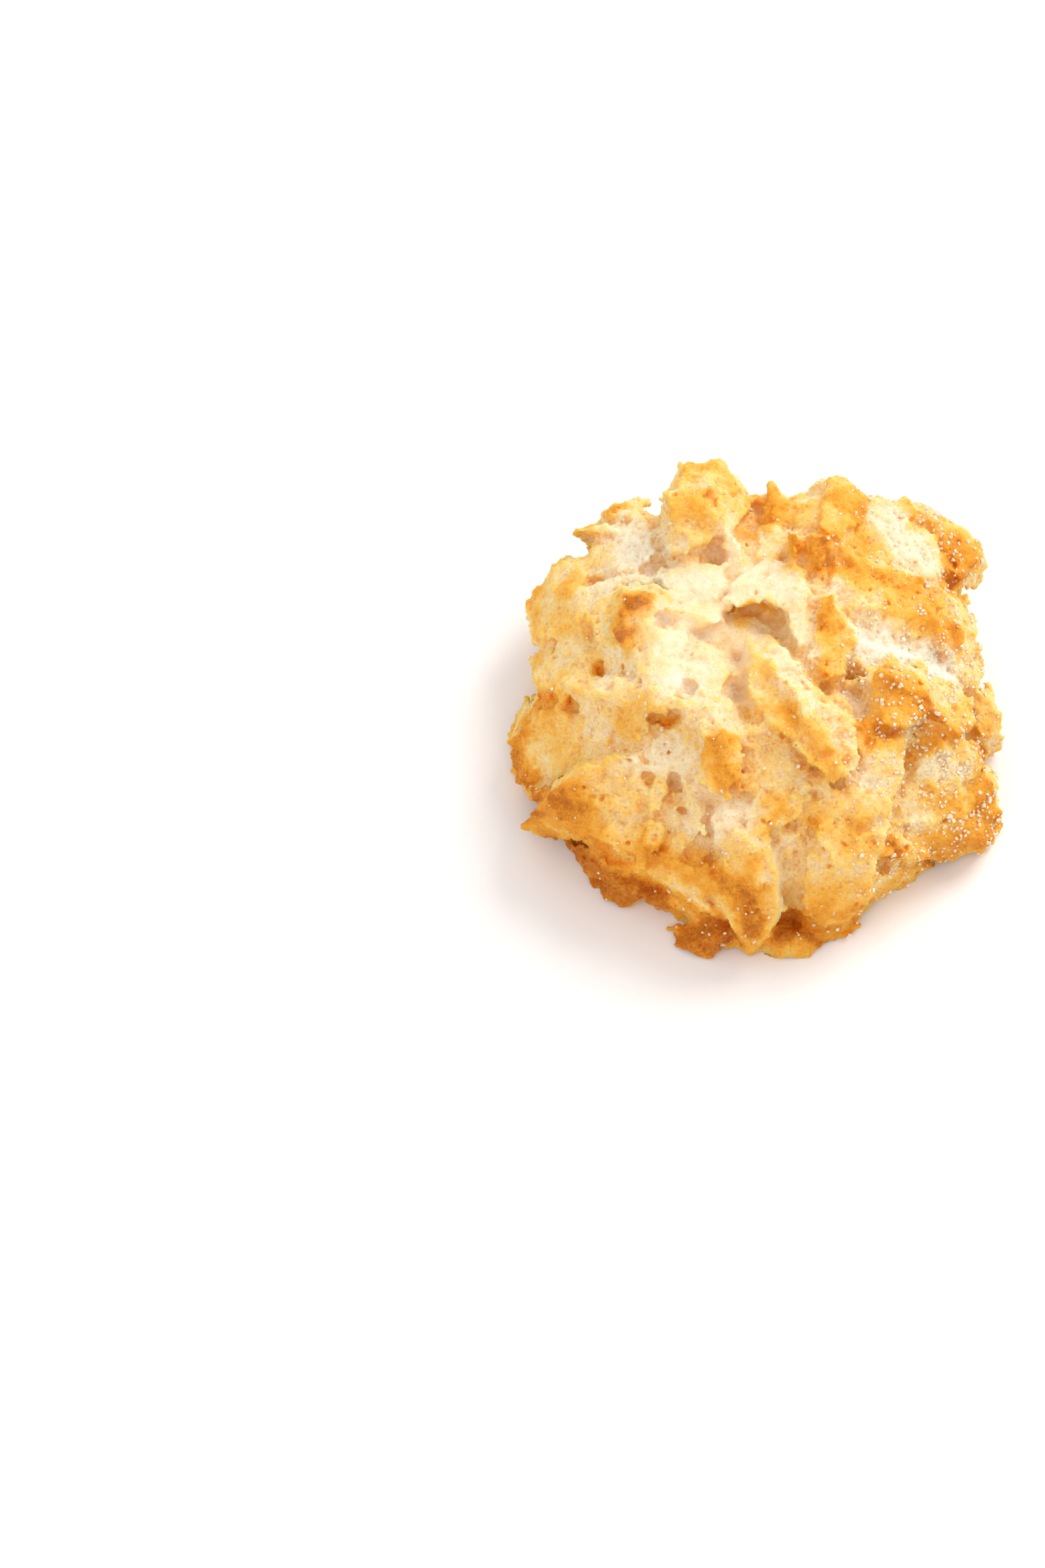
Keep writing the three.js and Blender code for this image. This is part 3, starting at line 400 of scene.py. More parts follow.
# Crumbs grown into the skin, and pits where steam came through it. The smooth middle has fewer crumbs
# and less unevenness. Sizes and places are in millimetres.
CRUMBS = 6000
CRUMB_SIZES = (0.28, 0.5)
PITS = 240
PIT_RADII = (0.2, 0.42)
PIT_DEPTHS = (0.3, 0.7)
SMOOTH_MIDDLE = (-4, 1, 25)
SMOOTH_REACH = (10, 12, 14)


def work(piece, kind, **settings):
    """Changes the piece's mesh by one modifier, which is applied."""
    tool = piece.modifiers.new(kind, kind)
    for name, value in settings.items():
        setattr(tool, name, value)
    bpy.context.view_layer.update()
    seen = piece.evaluated_get(bpy.context.evaluated_depsgraph_get())
    done = bpy.data.meshes.new_from_object(seen)
    piece.modifiers.clear()
    before = piece.data
    piece.data = done
    bpy.data.meshes.remove(before)


def net(piece, size, smoothing):
    """Draws the piece's skin anew on a net of that size and smooths it."""
    work(piece, "REMESH", mode="VOXEL", voxel_size=size)
    work(piece, "SMOOTH", factor=0.5, iterations=smoothing)


def points_of(piece):
    """The places of the corners of the piece's mesh, one row each."""
    points = np.empty(3 * len(piece.data.vertices), np.float32)
    piece.data.vertices.foreach_get("co", points)
    return points.reshape(-1, 3).astype(float)


def normals_of(piece):
    """The outward directions at those corners, one row each."""
    normals = np.empty(3 * len(piece.data.vertices), np.float32)
    piece.data.vertex_normals.foreach_get("vector", normals)
    return normals.reshape(-1, 3).astype(float)


def move_to(piece, points):
    """Moves those corners to the points."""
    piece.data.vertices.foreach_set("co", points.astype(np.float32).ravel())
    piece.data.update()


def unevenness(points, size, octaves, seed):
    """Soft random lumps of that size over the points, from about -1 to 1."""
    shift = Vector((seed * 7.3, seed * 3.1, seed * 5.7))
    return np.array([noise.fractal(Vector(p) / size + shift, 1.0, 2.0, octaves) for p in points])


def wander(points, size, seed):
    """A soft random sideways move at each point, at most about 1 long."""
    shift = Vector((seed * 5.1, seed * 2.3, seed * 8.9))
    return np.array([noise.noise_vector(Vector(p) / size + shift) for p in points])


def step(values, low, high):
    """0 below low, 1 above high, and a soft step between."""
    t = np.clip((values - low) / (high - low), 0, 1)
    return t * t * (3 - 2 * t)


def nearness(points, way, width):
    """1 on the way through those stations, falling softly to 0 at that distance from it."""
    stations = np.array(way) * MM
    nearest = np.full(len(points), np.inf)
    for start, end in zip(stations[:-1], stations[1:]):
        along = end - start
        share = np.clip((points - start) @ along / (along @ along), 0, 1)
        gap = np.linalg.norm(points - start - share[:, None] * along, axis=1)
        nearest = np.minimum(nearest, gap)
    return 1 - step(nearest, 0, width * MM)


def near_middle(points, middle, reach, inner, outer):
    """1 within that share of the reach from the middle, in millimetres, and 0 beyond the outer one."""
    return 1 - step(np.linalg.norm((points / MM - middle) / reach, axis=1), inner, outer)


def depth_of_hollow(smoothing):
    """How far each point lies below the dough around it, in millimetres. More smoothing looks wider."""
    smooth = dough.copy()
    smooth.data = dough.data.copy()
    scene.collection.objects.link(smooth)
    work(smooth, "SMOOTH", factor=0.5, iterations=smoothing)
    points = points_of(dough)
    depth = ((points_of(smooth) - points) * normals_of(dough)).sum(axis=1) / MM
    bpy.data.objects.remove(smooth)
    return depth


def ragged(points, size, octaves, seed):
    """Sharp random crests of that size with soft pits between them, from about -1 to 1."""
    return 1 - 3 * np.abs(unevenness(points, size, octaves, seed))


def keep_values(piece, name, values):
    """Stores one number for each corner, which the material reads by that name."""
    layer = piece.data.attributes.new(name, "FLOAT", "POINT")
    layer.data.foreach_set("value", values.astype(np.float32))


# The part's own solid, a little shrunk, with the hollows pressed in towards its heart.
noise.seed_set(4)
dough = bpy.data.objects.new("macaroon_dough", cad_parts["macaroon"].data.copy())
dough.data.materials.clear()
scene.collection.objects.link(dough)
bm = bmesh.new()
bm.from_mesh(dough.data)
bmesh.ops.remove_doubles(bm, verts=bm.verts, dist=0.001 * MM)
bm.to_mesh(dough.data)
bm.free()
net(dough, DOME_NET, smoothing=6)
points = points_of(dough)
inward = np.array(HEART) - points
inward /= np.linalg.norm(inward, axis=1)[:, None]
points -= normals_of(dough) * (SHRINK * step(points[:, 2], 0, 3 * MM))[:, None]
for way, width, depth in HOLLOWS:
    points += inward * (nearness(points, way, width) * depth * MM)[:, None]
move_to(dough, points)

# The random lumps are uneven balls, longer along the skin than they are high.
random.seed(11)
bm = bmesh.new()
bm.from_mesh(dough.data)
known_corners = [corner for corners in LUMPS.values() for corner in corners]
known = KDTree(len(known_corners))
for number, corner in enumerate(known_corners):
    known.insert(Vector(corner) * MM, number)
known.balance()
bare = []
for face in bm.faces:
    place = face.calc_center_median()
    if known.find(place)[2] > CLEAR_OF_LUMPS and place.z > CLEAR_OF_TRAY:
        bare.append((place, face.normal.copy()))
for place, out in random.sample(bare, RANDOM_LUMPS):
    upright = out.to_track_quat("Z", "Y").to_matrix().to_4x4()
    half_sizes = (random.uniform(1.6, 3.2), random.uniform(2.4, 5.2), random.uniform(1.4, 2.6), 1)
    spin = Matrix.Rotation(random.uniform(-0.7, 0.7), 4, "Z")
    where = Matrix.Translation(place) @ upright @ spin @ Matrix.Diagonal(half_sizes)
    made = bmesh.ops.create_icosphere(bm, subdivisions=1, radius=MM, matrix=where)
    for corner in made["verts"]:
        corner.co += (corner.co - place) * random.uniform(-0.25, 0.3)

# Each named lump is the block between its corners and its root in the dough.
for name, corners in LUMPS.items():
    tops = [Vector(corner) * MM for corner in corners]
    middle = sum(tops, Vector()) / len(tops)
    flare = ROOT_TAPER if name in OVERHANGING else ROOT_FLARE
    roots = []
    for top in tops:
        aside = (top - middle).normalized()
        outward = Vector((top.x - HEART.x, top.y - HEART.y, 0))
        at_rim = min(max((outward.length / MM - RIM_START) / RIM_WIDTH, 0), 1)
        outward.normalize()
        aside -= outward * max(aside.dot(outward), 0) * at_rim
        root = top + aside * flare + LUMP_ROOT
        root.z = max(root.z, LOWEST_ROOT)
        roots.append(root)
    ends = [bm.verts.new(place) for place in tops + roots]
    hull = bmesh.ops.convex_hull(bm, input=ends)
    bmesh.ops.delete(bm, geom=list(set(hull["geom_unused"]) | set(hull["geom_interior"])))
bm.to_mesh(dough.data)
bm.free()
net(dough, LUMP_NET, smoothing=3)

# The relief is made deeper, the holes and crests are pressed and drawn, and all of it is bent a little.
points = points_of(dough)
relief = np.clip(depth_of_hollow(60), -MOST_OUT, MOST_IN)
points -= normals_of(dough) * ((relief * SHARPEN + TRIM) * MM)[:, None]
for way, width, depth in HOLES_AND_CRESTS:
    points += PRESSED * (nearness(points, way, width) * depth * MM)[:, None]
points += wander(points, 3.0 * MM, 1) * 0.5 * MM + wander(points, 1.1 * MM, 2) * 0.45 * MM
points[:, 2] = np.maximum(points[:, 2], 0)
move_to(dough, points)


def strewn(kinds, places):
    """One bmesh of many small pieces: a copy of one of the kinds of mesh at each of the places."""
    heap = bmesh.new()
    for place in places:
        grain = random.choice(kinds).copy()
        grain.transform(place)
        heap.from_mesh(grain)
        bpy.data.meshes.remove(grain)
    return heap


def any_turn():
    """A random turn."""
    return Euler([random.uniform(0, 2 * math.pi) for _ in range(3)]).to_matrix().to_4x4()


# The crumbs are thickest where the dough is torn and fewest on the smooth middle.
random.seed(6)
crumb_kinds = []
for number in range(6):
    bm = bmesh.new()
    for corner in bmesh.ops.create_icosphere(bm, subdivisions=1, radius=1)["verts"]:
        corner.co *= random.uniform(0.75, 1.2)
    crumb_kinds.append(bpy.data.meshes.new("crumb_kind"))
    bm.to_mesh(crumb_kinds[-1])
    bm.free()
points = points_of(dough)
normals = normals_of(dough)
smooth_middle = near_middle(points, SMOOTH_MIDDLE, SMOOTH_REACH, 0.5, 1.2)
rough = 0.4 + 1.5 * step(depth_of_hollow(60), 0, 0.6) + 0.9 * unevenness(points, 3 * MM, 2, 12)
rough = np.clip(rough - 0.6 * smooth_middle, 0.03, 2)
places = []
for number in random.choices(range(len(points)), weights=rough, k=CRUMBS):
    size = random.uniform(*CRUMB_SIZES) * MM * (1 + 0.5 * random.random() ** 3)
    shape = (size, size * random.uniform(0.6, 1), size * random.uniform(0.5, 0.9), 1)
    place = Vector(points[number]) + Vector(normals[number]) * size * random.uniform(-0.2, 0.2)
    places.append(Matrix.Translation(place) @ any_turn() @ Matrix.Diagonal(shape))
bm = strewn(crumb_kinds, places)
bm.from_mesh(dough.data)
bm.to_mesh(dough.data)
bm.free()
net(dough, CRUMB_NET, smoothing=1)

# Bubbles shut inside the dough and crumbs that touch nothing are taken away.
bm = bmesh.new()
bm.from_mesh(dough.data)
unseen = set(bm.verts)
bodies = []
while unseen:
    front = {unseen.pop()}
    body = set(front)
    while front:
        front = {edge.other_vert(corner) for corner in front for edge in corner.link_edges} & unseen
        unseen -= front
        body |= front
    bodies.append(body)
bodies.sort(key=len)
loose_corners = [corner for body in bodies[:-1] for corner in body]
bmesh.ops.delete(bm, geom=loose_corners, context="VERTS")
bm.to_mesh(dough.data)
bm.free()

# The skin's own unevenness. In the torn hollows it is ragged crumb, on the crests a finer grain.
hollow = depth_of_hollow(120)
points = points_of(dough)
normals = normals_of(dough)
torn = step(hollow, -0.05, 0.5)
high = step(points[:, 2], 0.3 * MM, 1.5 * MM)
swell = 0.10 * unevenness(points, 1.4 * MM, 2, 2) + 0.12 * ragged(points, 0.6 * MM, 2, 4)
tear = torn * (0.20 * ragged(points, 1.8 * MM, 3, 3) + 0.12 * ragged(points, 0.7 * MM, 2, 6))
smooth_middle = near_middle(points, SMOOTH_MIDDLE, SMOOTH_REACH, 0.5, 1.2)
points += normals * ((swell + tear) * (1 - 0.65 * smooth_middle) * high * MM)[:, None]

# Each pit is a dent round a random point of the skin, twice as long one way as the other.
random.seed(5)
tree = KDTree(len(points))
for number, place in enumerate(points):
    tree.insert(place, number)
tree.balance()
pit = np.zeros(len(points))
for number in random.sample(range(len(points)), PITS):
    radius = random.uniform(*PIT_RADII) * MM
    depth = random.uniform(*PIT_DEPTHS) * MM
    slit = Vector([random.uniform(-1, 1) for _ in range(3)]).normalized()
    middle = Vector(points[number])
    for place, index, _ in tree.find_range(middle, 2 * radius):
        offset = place - middle
        far = (offset - slit * offset.dot(slit) * 0.5).length / radius
        if far < 1:
            pit[index] = max(pit[index], (1 - far * far) * depth / MM)
points -= normals * (pit * high * MM)[:, None]
points[:, 2] = np.maximum(points[:, 2], 0)
move_to(dough, points)
keep_values(dough, "pit", np.clip(pit / 0.5, 0, 1))
triangles = sum(len(face.vertices) - 2 for face in dough.data.polygons)
if triangles > TRIANGLES:
    work(dough, "DECIMATE", ratio=TRIANGLES / triangles)

# Browning: the oven browns what stands out, and the foot where the dough met the hot tray. Strokes along
# crests that browned more, and below 0 along slopes that stayed pale: points on the way and width, in
# millimetres, and amount. A few strokes are painted shade and painted light instead, as marked below.
STROKE_STRENGTH = 0.88
VALLEY = [(12, -1, 23.5), (15.5, -1, 22), (19, -1.5, 20), (22.5, -1, 16.5)]
SUGARED_SLOPE = [(16, 15, 22.5), (18.5, 12.5, 22), (21, 11.5, 20.5)]
SLOPE_TOP = [(15, 17.5, 23), (17, 16.5, 22)]
BROWNED_AND_SHADED = [
    ([(-8.5, 22, 25.5), (-7, 23.5, 25), (-4.5, 23.5, 25), (-2.5, 23, 23.5)], 2.6, 0.35),
    ([(-10.5, 15.5, 25.5), (-8.5, 16.5, 27), (-6, 15, 27)], 3.0, 0.3),
    ([(-10, 13.5, 25.5), (-6.5, 12, 26)], 2.6, 0.06),
    ([(1.5, 20.5, 23), (2, 18.5, 23.5), (2.5, 16.5, 24)], 2.2, 0.5),
    ([(-1.5, 14.5, 23), (0.5, 14.5, 24), (2, 15.5, 24)], 1.4, 0.4),
    ([(3.5, 17.5, 23.5), (5.5, 16.5, 25)], 2.2, 0.25),
    ([(-21, 21.5, 13.5), (-19.5, 21, 15)], 1.7, 0.5),
    ([(-18, 23, 15.5), (-17, 23, 16), (-16, 24, 16)], 1.5, 0.5),
    ([(-24.5, 18, 11.5), (-25.5, 15, 13)], 2.0, 0.3),
    ([(-22.5, 12, 16.5), (-22.5, 10.5, 17)], 1.8, 0.45),
    ([(-27, 13, 11.5), (-26.5, 11, 11.5), (-26.5, 8, 12)], 1.8, 0.3),
    ([(-24, 8.5, 14.5), (-22.5, 6, 16.5), (-20.5, 4.5, 18.5)], 2.2, 0.18),
    ([(-26, 5, 11), (-27, 6, 5.5)], 1.8, 0.2),
    ([(-13.5, 4, 25.5), (-15, 3.5, 25), (-16.5, 2.5, 24.5), (-17, 0.5, 24), (-16, -2, 24.5)], 2.0, 0.7),
    ([(-13.5, 1, 26.5), (-14, -1.5, 26)], 2.2, 0.3),
    ([(8, 1.5, 27.5), (8, 0, 27.5), (7.5, -2, 27)], 1.8, 0.42),
    ([(7.5, -3, 27), (9.5, -4, 25.5), (7.5, -6, 25.5)], 2.4, 0.3),
    ([(4, 11, 27), (4, 8.5, 26.5)], 1.8, 0.75),
    ([(7.5, 10.5, 27.5), (7, 8.5, 27.5), (7, 7.5, 26.5)], 2.0, 0.75),
    ([(10, 17.5, 26), (12, 18.5, 25.5), (12.5, 16.5, 25.5)], 2.6, 0.6),
    ([(7.5, 13.5, 27.5), (10, 13, 27.5), (12.5, 15, 24.5)], 2.4, 0.3),
    ([(12, 11, 24.5), (14, 13, 23)], 2.2, 0.4),
    ([(10.5, 7.5, 25.5), (13, 7, 25.5), (16, 7, 23.5), (18.5, 7, 23), (22, 10, 19)], 2.2, 0.45),
    ([(16, 3, 24), (19.5, 4, 22.5), (22.5, 4.5, 19)], 2.4, 0.32),
    ([(19, 2, 22.5), (21.5, 1.5, 20.5), (23, 0.5, 19)], 2.2, 0.4),
    ([(23, 4, 18.5), (24, 2, 18), (24, 1, 17)], 1.9, 0.6),
    ([(23.5, 13, 18), (24, 14.5, 18), (25.5, 16.5, 17), (27.5, 16, 15.5), (25, 11.5, 17.5)], 2.3, 0.7),
    ([(20, 18.5, 21), (22, 17.5, 19.5), (23.5, 17.5, 19)], 2.2, 0.35),
    ([(14, -6.5, 26), (15.5, -8, 25), (17.5, -8.5, 23.5), (19.5, -9.5, 23)], 2.4, 0.5),
    ([(14.5, -10.5, 24), (16.5, -11, 23.5)], 2.4, 0.35),
    ([(11.5, -12, 22.5), (13, -13, 23.5)], 1.8, 0.4),
    ([(20, -10.5, 22.5), (21, -12, 21), (23.5, -11, 18)], 2.0, 0.55),
    ([(23.5, -7.5, 18.5), (25.5, -7.5, 17)], 2.2, 0.3),
    ([(27.5, -3, 11), (28.5, -4.5, 9.5), (27, -9.5, 12)], 2.3, 0.4),
    ([(11, -14, 20.5), (13, -13, 21.5), (15.5, -13.5, 21.5)], 1.9, 0.45),
    ([(11, -23, 17.5), (10, -24.5, 16.5), (12, -25, 15.5)], 2.2, 0.3),
    ([(7, -27.5, 10), (9.5, -27.5, 10.5), (11.5, -27.5, 10)], 2.4, 0.4),
    ([(6, -28.5, 7), (8, -29, 6), (11.5, -28, 6)], 2.2, 0.6),
    ([(6, -21.5, 17.5), (7, -23.5, 17.5)], 1.7, 0.35),
    ([(18, -13, 17.5), (19.5, -12.5, 18.5)], 1.8, 0.55),
    ([(27, -11.5, 11), (27, -14, 8.5), (28, -15.5, 6), (25.5, -18.5, 5.5), (20.5, -21, 8)], 3.2, 0.68),
    ([(20, -16.5, 15), (22.5, -17.5, 12.5)], 2.0, 0.25),
    ([(16.5, -22, 10.5), (14, -24.5, 11)], 2.0, 0.3),
    ([(20.5, -21, 6), (16.5, -23, 4.5)], 2.0, 0.2),
    ([(-1, -27.5, 15.5), (-3, -28, 13.5), (-1, -29.5, 11.5), (-1.5, -30.5, 8)], 2.4, 0.52),
    ([(0, -31, 7.5), (-1.5, -31.5, 4)], 2.0, 0.2),
    ([(0.5, -24, 18.5), (1, -22.5, 19.5), (2.5, -21.5, 19.5)], 1.6, 0.45),
    ([(-5, -16, 25.5), (-5.5, -17.5, 24), (-4.5, -19.5, 23), (-4, -20.5, 22)], 2.2, 0.62),
    ([(-1.5, -11, 22.5), (-1, -11.5, 22)], 1.0, 0.4),
    ([(-14.5, -10, 22.5), (-12, -11.5, 24)], 1.9, 0.3),
    ([(-17, -10.5, 20), (-14.5, -12.5, 21)], 1.9, 0.35),
    ([(0.5, -6.5, 25.5), (0.5, -9, 25), (1.5, -11.5, 25), (3.5, -13, 25.5)], 2.1, 0.27),
    ([(3.5, -13, 25.5), (5, -16, 26), (6.5, -17.5, 24.5), (8, -19, 23)], 2.3, 0.36),
    ([(-24, -3, 14), (-26.5, -0.5, 8.5), (-28.5, -1.5, 7)], 2.0, 0.32),
    ([(-28, -4.5, 7.5), (-29, -6, 5), (-27, -9, 6)], 2.5, 0.33),
    ([(-28, -10.5, 6.5), (-26.5, -14, 9.5)], 1.8, 0.75),
    ([(-27, -15, 6), (-25, -17, 11), (-22.5, -17.5, 12.5), (-24, -18, 9.5)], 2.8, 0.6),
    ([(-21.5, -16, 15), (-24, -16.5, 13)], 2.0, 0.35),
    ([(-20, -19, 12.5), (-19, -20.5, 12.5), (-20.5, -19.5, 7.5)], 2.4, 0.35),
    ([(-21.5, -17.5, 1.5), (-20, -20, 3.5), (-18, -23, 6), (-15, -23.5, 6.5)], 2.0, 0.5),
    ([(-18.5, -22, 1), (-16.5, -24, 2), (-14.5, -24.5, 3)], 2.2, 0.65),
    ([(-12, -25, 4), (-9.5, -26.5, 5.5), (-6, -28, 5), (-5, -29.5, 4.5)], 1.9, 0.7),
    ([(-8.5, -30, 1.5), (-6.5, -30, 3), (-4.5, -30.5, 3.5)], 2.6, 0.85),
    ([(4, -27, 3), (2, -29.5, 4)], 1.9, 0.6),
    ([(3, -30, 3), (5.5, -29, 3), (8, -28.5, 1)], 2.3, 0.45),
    ([(10.5, -27.5, 1.5), (12.5, -26.5, 1)], 1.6, 0.6),
    ([(-14, -22.5, 14), (-13, -23.5, 12.5)], 1.5, 0.35),
    ([(15, -22.5, 12.5), (16.5, -22.5, 10.5)], 1.5, 0.5),
    ([(-6.5, -7, 25), (-4, -9.5, 24.5), (-3, -12, 24.5)], 3.2, -0.1),
    ([(-11, -1.5, 25.5), (-8.5, -2.5, 25), (-10, -7, 25)], 2.6, -0.16),
    ([(-3.5, 14, 26.5), (-3, 10, 25), (-1, 6, 25.5), (2, 6, 25.5)], 2.4, -0.28),
    ([(3.5, 6, 26), (5, 2.5, 26.5), (4.5, -2, 26.5), (4.5, -4.5, 25)], 2.4, -0.26),
    ([(6.5, 6, 25), (8.5, 5.5, 26)], 2.0, -0.2),
    (VALLEY, 2.2, -0.45),
    (SUGARED_SLOPE, 3.0, -0.3),
    (SLOPE_TOP, 2.4, -0.12),
    ([(-6.5, -22.5, 15.5), (-4.5, -22.5, 18.5), (-2.5, -22, 19)], 2.4, -0.3),
    ([(2.5, -4.5, 25.5), (4.5, -10, 27), (7, -14, 28), (9, -16, 26.5)], 1.9, -0.3),
    ([(-19.5, 12, 17.5), (-16, 9.5, 20.5), (-13, 9, 21.5)], 2.0, -0.24),
    ([(-15.5, 19, 18), (-14, 15.5, 20), (-14.5, 12, 21)], 3.4, -0.38),
    ([(-14, -15.5, 19), (-11, -14.5, 20), (-9, -15.5, 20)], 2.0, -0.3),
    ([(11, -17.5, 21.5), (12.5, -18.5, 20)], 2.4, -0.2),
    ([(19, -14.5, 17), (21.5, -14, 16)], 2.2, -0.2),
    ([(17, -18.5, 14), (18.5, -19.5, 13.5)], 1.8, -0.16),
    ([(2, -23.5, 14.5), (4, -22, 14.5)], 1.8, -0.3),
    ([(-9.5, 7.5, 23.5), (-6, 7, 24), (-6, 4, 24.5)], 2.6, -0.1),
    ([(-14, -23.5, 11), (-9, -26, 12), (-5.5, -27, 12)], 2.8, 0.46),
    ([(-19, -16, 16.5), (-15.5, -19, 16.5), (-14, -21, 14.5)], 3.4, 0.13),
    ([(-24, -6.5, 13), (-22, -10, 14), (-22.5, -11.5, 12.5)], 3.4, 0.13),
    ([(-19, -7.5, 21.5), (-14, -9, 23.5), (-11, -10, 24.5)], 2.4, -0.1),
    ([(9.5, 3.5, 26), (14, 2.5, 24), (18, 2, 22.5)], 2.0, -0.16),
    ([(20, -15.5, 16), (23, -16, 14)], 3.0, -0.08),
    ([(-26.5, -15.5, 6), (-22.5, -18.5, 11.5), (-19.5, -20.5, 10.5)], 3.2, 0.2),
    # Brown of the low left foot, made darker still by painted shade.
    ([(-23.5, -16, 1.5), (-18.5, -22, 7), (-14, -24, 6)], 3.2, 0.42),
    ([(-20, -20, 0.5), (-15.5, -24.5, 4), (-11, -25.5, 2)], 2.5, 0.4),
    ([(-29, -5, 6), (-27.5, -8.5, 6)], 2.5, 0.3),
    ([(-27.5, -3.5, 8.5), (-26.5, -1, 8.5)], 3.0, 0.3),
    ([(-6.5, -27, 11), (-2.5, -29.5, 10.5)], 2.4, 0.12),
    # Lighter below the brown mound: less brown, and painted light against its shade.
    ([(-13.5, 17, 19.5), (-11.5, 12, 22)], 2.2, -0.2),
    ([(23.5, -9, 19), (24, -10.5, 18)], 2.4, 0.2),
    ([(24, -16.5, 13), (24.5, -18, 9)], 2.6, 0.3),
    ([(-3.5, -28.5, 13), (-1, -29, 12)], 2.2, 0.08),
    ([(14, -24.5, 14.5), (16.5, -22, 11), (19.5, -21.5, 8)], 1.0, 0.4),
    ([(-13, -22, 15), (-14.5, -23.5, 11)], 1.2, 0.22),
    ([(-7.5, -22.5, 16), (-6.5, -25, 13), (-5, -27.5, 11.5)], 1.4, 0.2),
    # Painted shade and glow: these three colour the holes a deep amber, as light that has come through the
    # dough looks there.
    ([(-2, 3.5, 22.5), (-1, 3.5, 24), (0.5, 4, 22.5)], 1.4, 0.7),
    ([(-12, -10, 20.5), (-10, -10.5, 21)], 1.3, 0.7),
    ([(-18.5, -2, 17.5), (-17.5, 1, 14.5)], 1.5, 0.6),
    ([(-25, -5, 11.5), (-23, -9, 13)], 3.4, 0.2),
    ([(-16.5, 5.5, 22), (-15, 3.5, 25), (-13.5, 2.5, 25.5)], 1.6, 0.4),
    ([(-15.5, 2.5, 25), (-16, 1, 24), (-16.5, -1, 23.5)], 1.5, 0.35),
    ([(-1.5, -28.5, 13), (-2, -30, 9), (-1, -31.5, 7)], 1.4, 0.3),
    ([(-6, -29.5, 3), (-4.5, -30, 4)], 2.0, 0.35),
]
hollow = depth_of_hollow(60)
points = points_of(dough)
foot = 1 - step(points[:, 2], 1.5 * MM, 7 * MM)
patches = unevenness(points, 5 * MM, 3, 5)
middle_pale = near_middle(points, (-6, 0, 24), (13, 15, 18), 0.3, 1.1)
toast_and_shade = 0.16 - 0.14 * middle_pale - 0.36 * np.clip(hollow, -1, 0.8) + 0.30 * foot + 0.16 * patches
loose = points + wander(points, 2.2 * MM, 7) * 1.3 * MM + wander(points, 0.8 * MM, 8) * 0.4 * MM
for way, width, amount in BROWNED_AND_SHADED:
    toast_and_shade += STROKE_STRENGTH * amount * nearness(loose, way, 1.5 * width)
keep_values(dough, "toast_and_shade", np.clip(toast_and_shade, 0, 1))

# Sugar dust, which whitens the slopes that it was thrown at, and a whitening of the palest hollows, which
# takes back part of the painted shade there: points on the way and width, in millimetres, and amount.
WHITENED = [
    (VALLEY, 3.6, 0.85),
    (SUGARED_SLOPE, 4.5, 0.28),
    (SLOPE_TOP, 3.6, 0.25),
    ([(-11, -1, 25.5), (-8.5, 0, 25), (-6.5, -4.5, 25)], 6.5, 0.2),
    ([(-10, 8, 23.5), (-5.5, 7, 24)], 5.0, 0.3),
    ([(-15, 17, 19), (-13.5, 12, 21.5)], 4.5, 0.4),
    ([(-3, 12, 26), (0, 6, 26), (4.5, 3, 26.5)], 3.5, 0.15),
    ([(-8.5, -20, 16.5), (-6.5, -22, 16.5), (-3.5, -22, 19)], 4.0, 0.2),
    # These lighten the palest hollows against the painted shade.
    ([(-9.5, -7.5, 24), (-8, -7.5, 23)], 3.0, 0.65),
    ([(-11.5, 1.5, 24), (-10.5, 1.5, 24)], 2.8, 0.6),
    ([(-8, 0.5, 22.5), (-6, 0.5, 22.5)], 2.8, 0.5),
    ([(-2.5, -2, 21.5), (-3, -7, 21.5)], 3.0, 0.5),
    ([(-12.5, 12.5, 20.5), (-13, 10.5, 20)], 3.0, 0.55),
    ([(-5, 12, 22.5), (-3, 13, 23)], 2.8, 0.35),
    ([(11.5, -9, 21), (10, -8, 21.5)], 2.4, 0.3),
    ([(-10.5, -16.5, 17.5), (-9.5, -17, 18.5)], 2.2, 0.2),
]
whitening = np.zeros(len(points))
for way, width, amount in WHITENED:
    whitening = np.maximum(whitening, amount * nearness(loose, way, width))
keep_values(dough, "whitening", whitening)

# Painted shade: how shut in each point is by the dough around it. The colour is darkened there and turned
# yellower, as light that has gone through the dough would be. It is looked for in twelve directions, in two
# rings.
SHADE_REACH = 4.0 * MM
SHADE_START = 0.1 * MM
looks = []
for climb in (0.35, 0.9):
    for bearing in (0.3, 1.35, 2.4, 3.45, 4.5, 5.55):
        flat = math.cos(climb)
        looks.append(Vector((math.cos(bearing) * flat, math.sin(bearing) * flat, math.sin(climb))))
bm = bmesh.new()
bm.from_mesh(dough.data)
walls = BVHTree.FromBMesh(bm)
crevice_shade = np.zeros(len(bm.verts))
for corner in bm.verts:
    turn = corner.normal.to_track_quat("Z", "Y")
    start = corner.co + corner.normal * SHADE_START
    for look in looks:
        far = walls.ray_cast(start, turn @ look, SHADE_REACH)[3]
        if far is not None:
            crevice_shade[corner.index] += (1 - far / SHADE_REACH) / len(looks)
bm.free()
keep_values(dough, "crevice_shade", crevice_shade)

# The crust's colour by how brown it is, from the pale crumb to the darkest crest.
CRUST_COLOURS = [
    (0.0, (0.95, 0.77, 0.51, 1)),
    (0.08, (0.94, 0.71, 0.38, 1)),
    (0.18, (0.94, 0.645, 0.26, 1)),
    (0.34, (0.93, 0.55, 0.13, 1)),
    (0.56, (0.90, 0.42, 0.045, 1)),
    (0.78, (0.79, 0.31, 0.024, 1)),
    (1.0, (0.54, 0.16, 0.008, 1)),
]
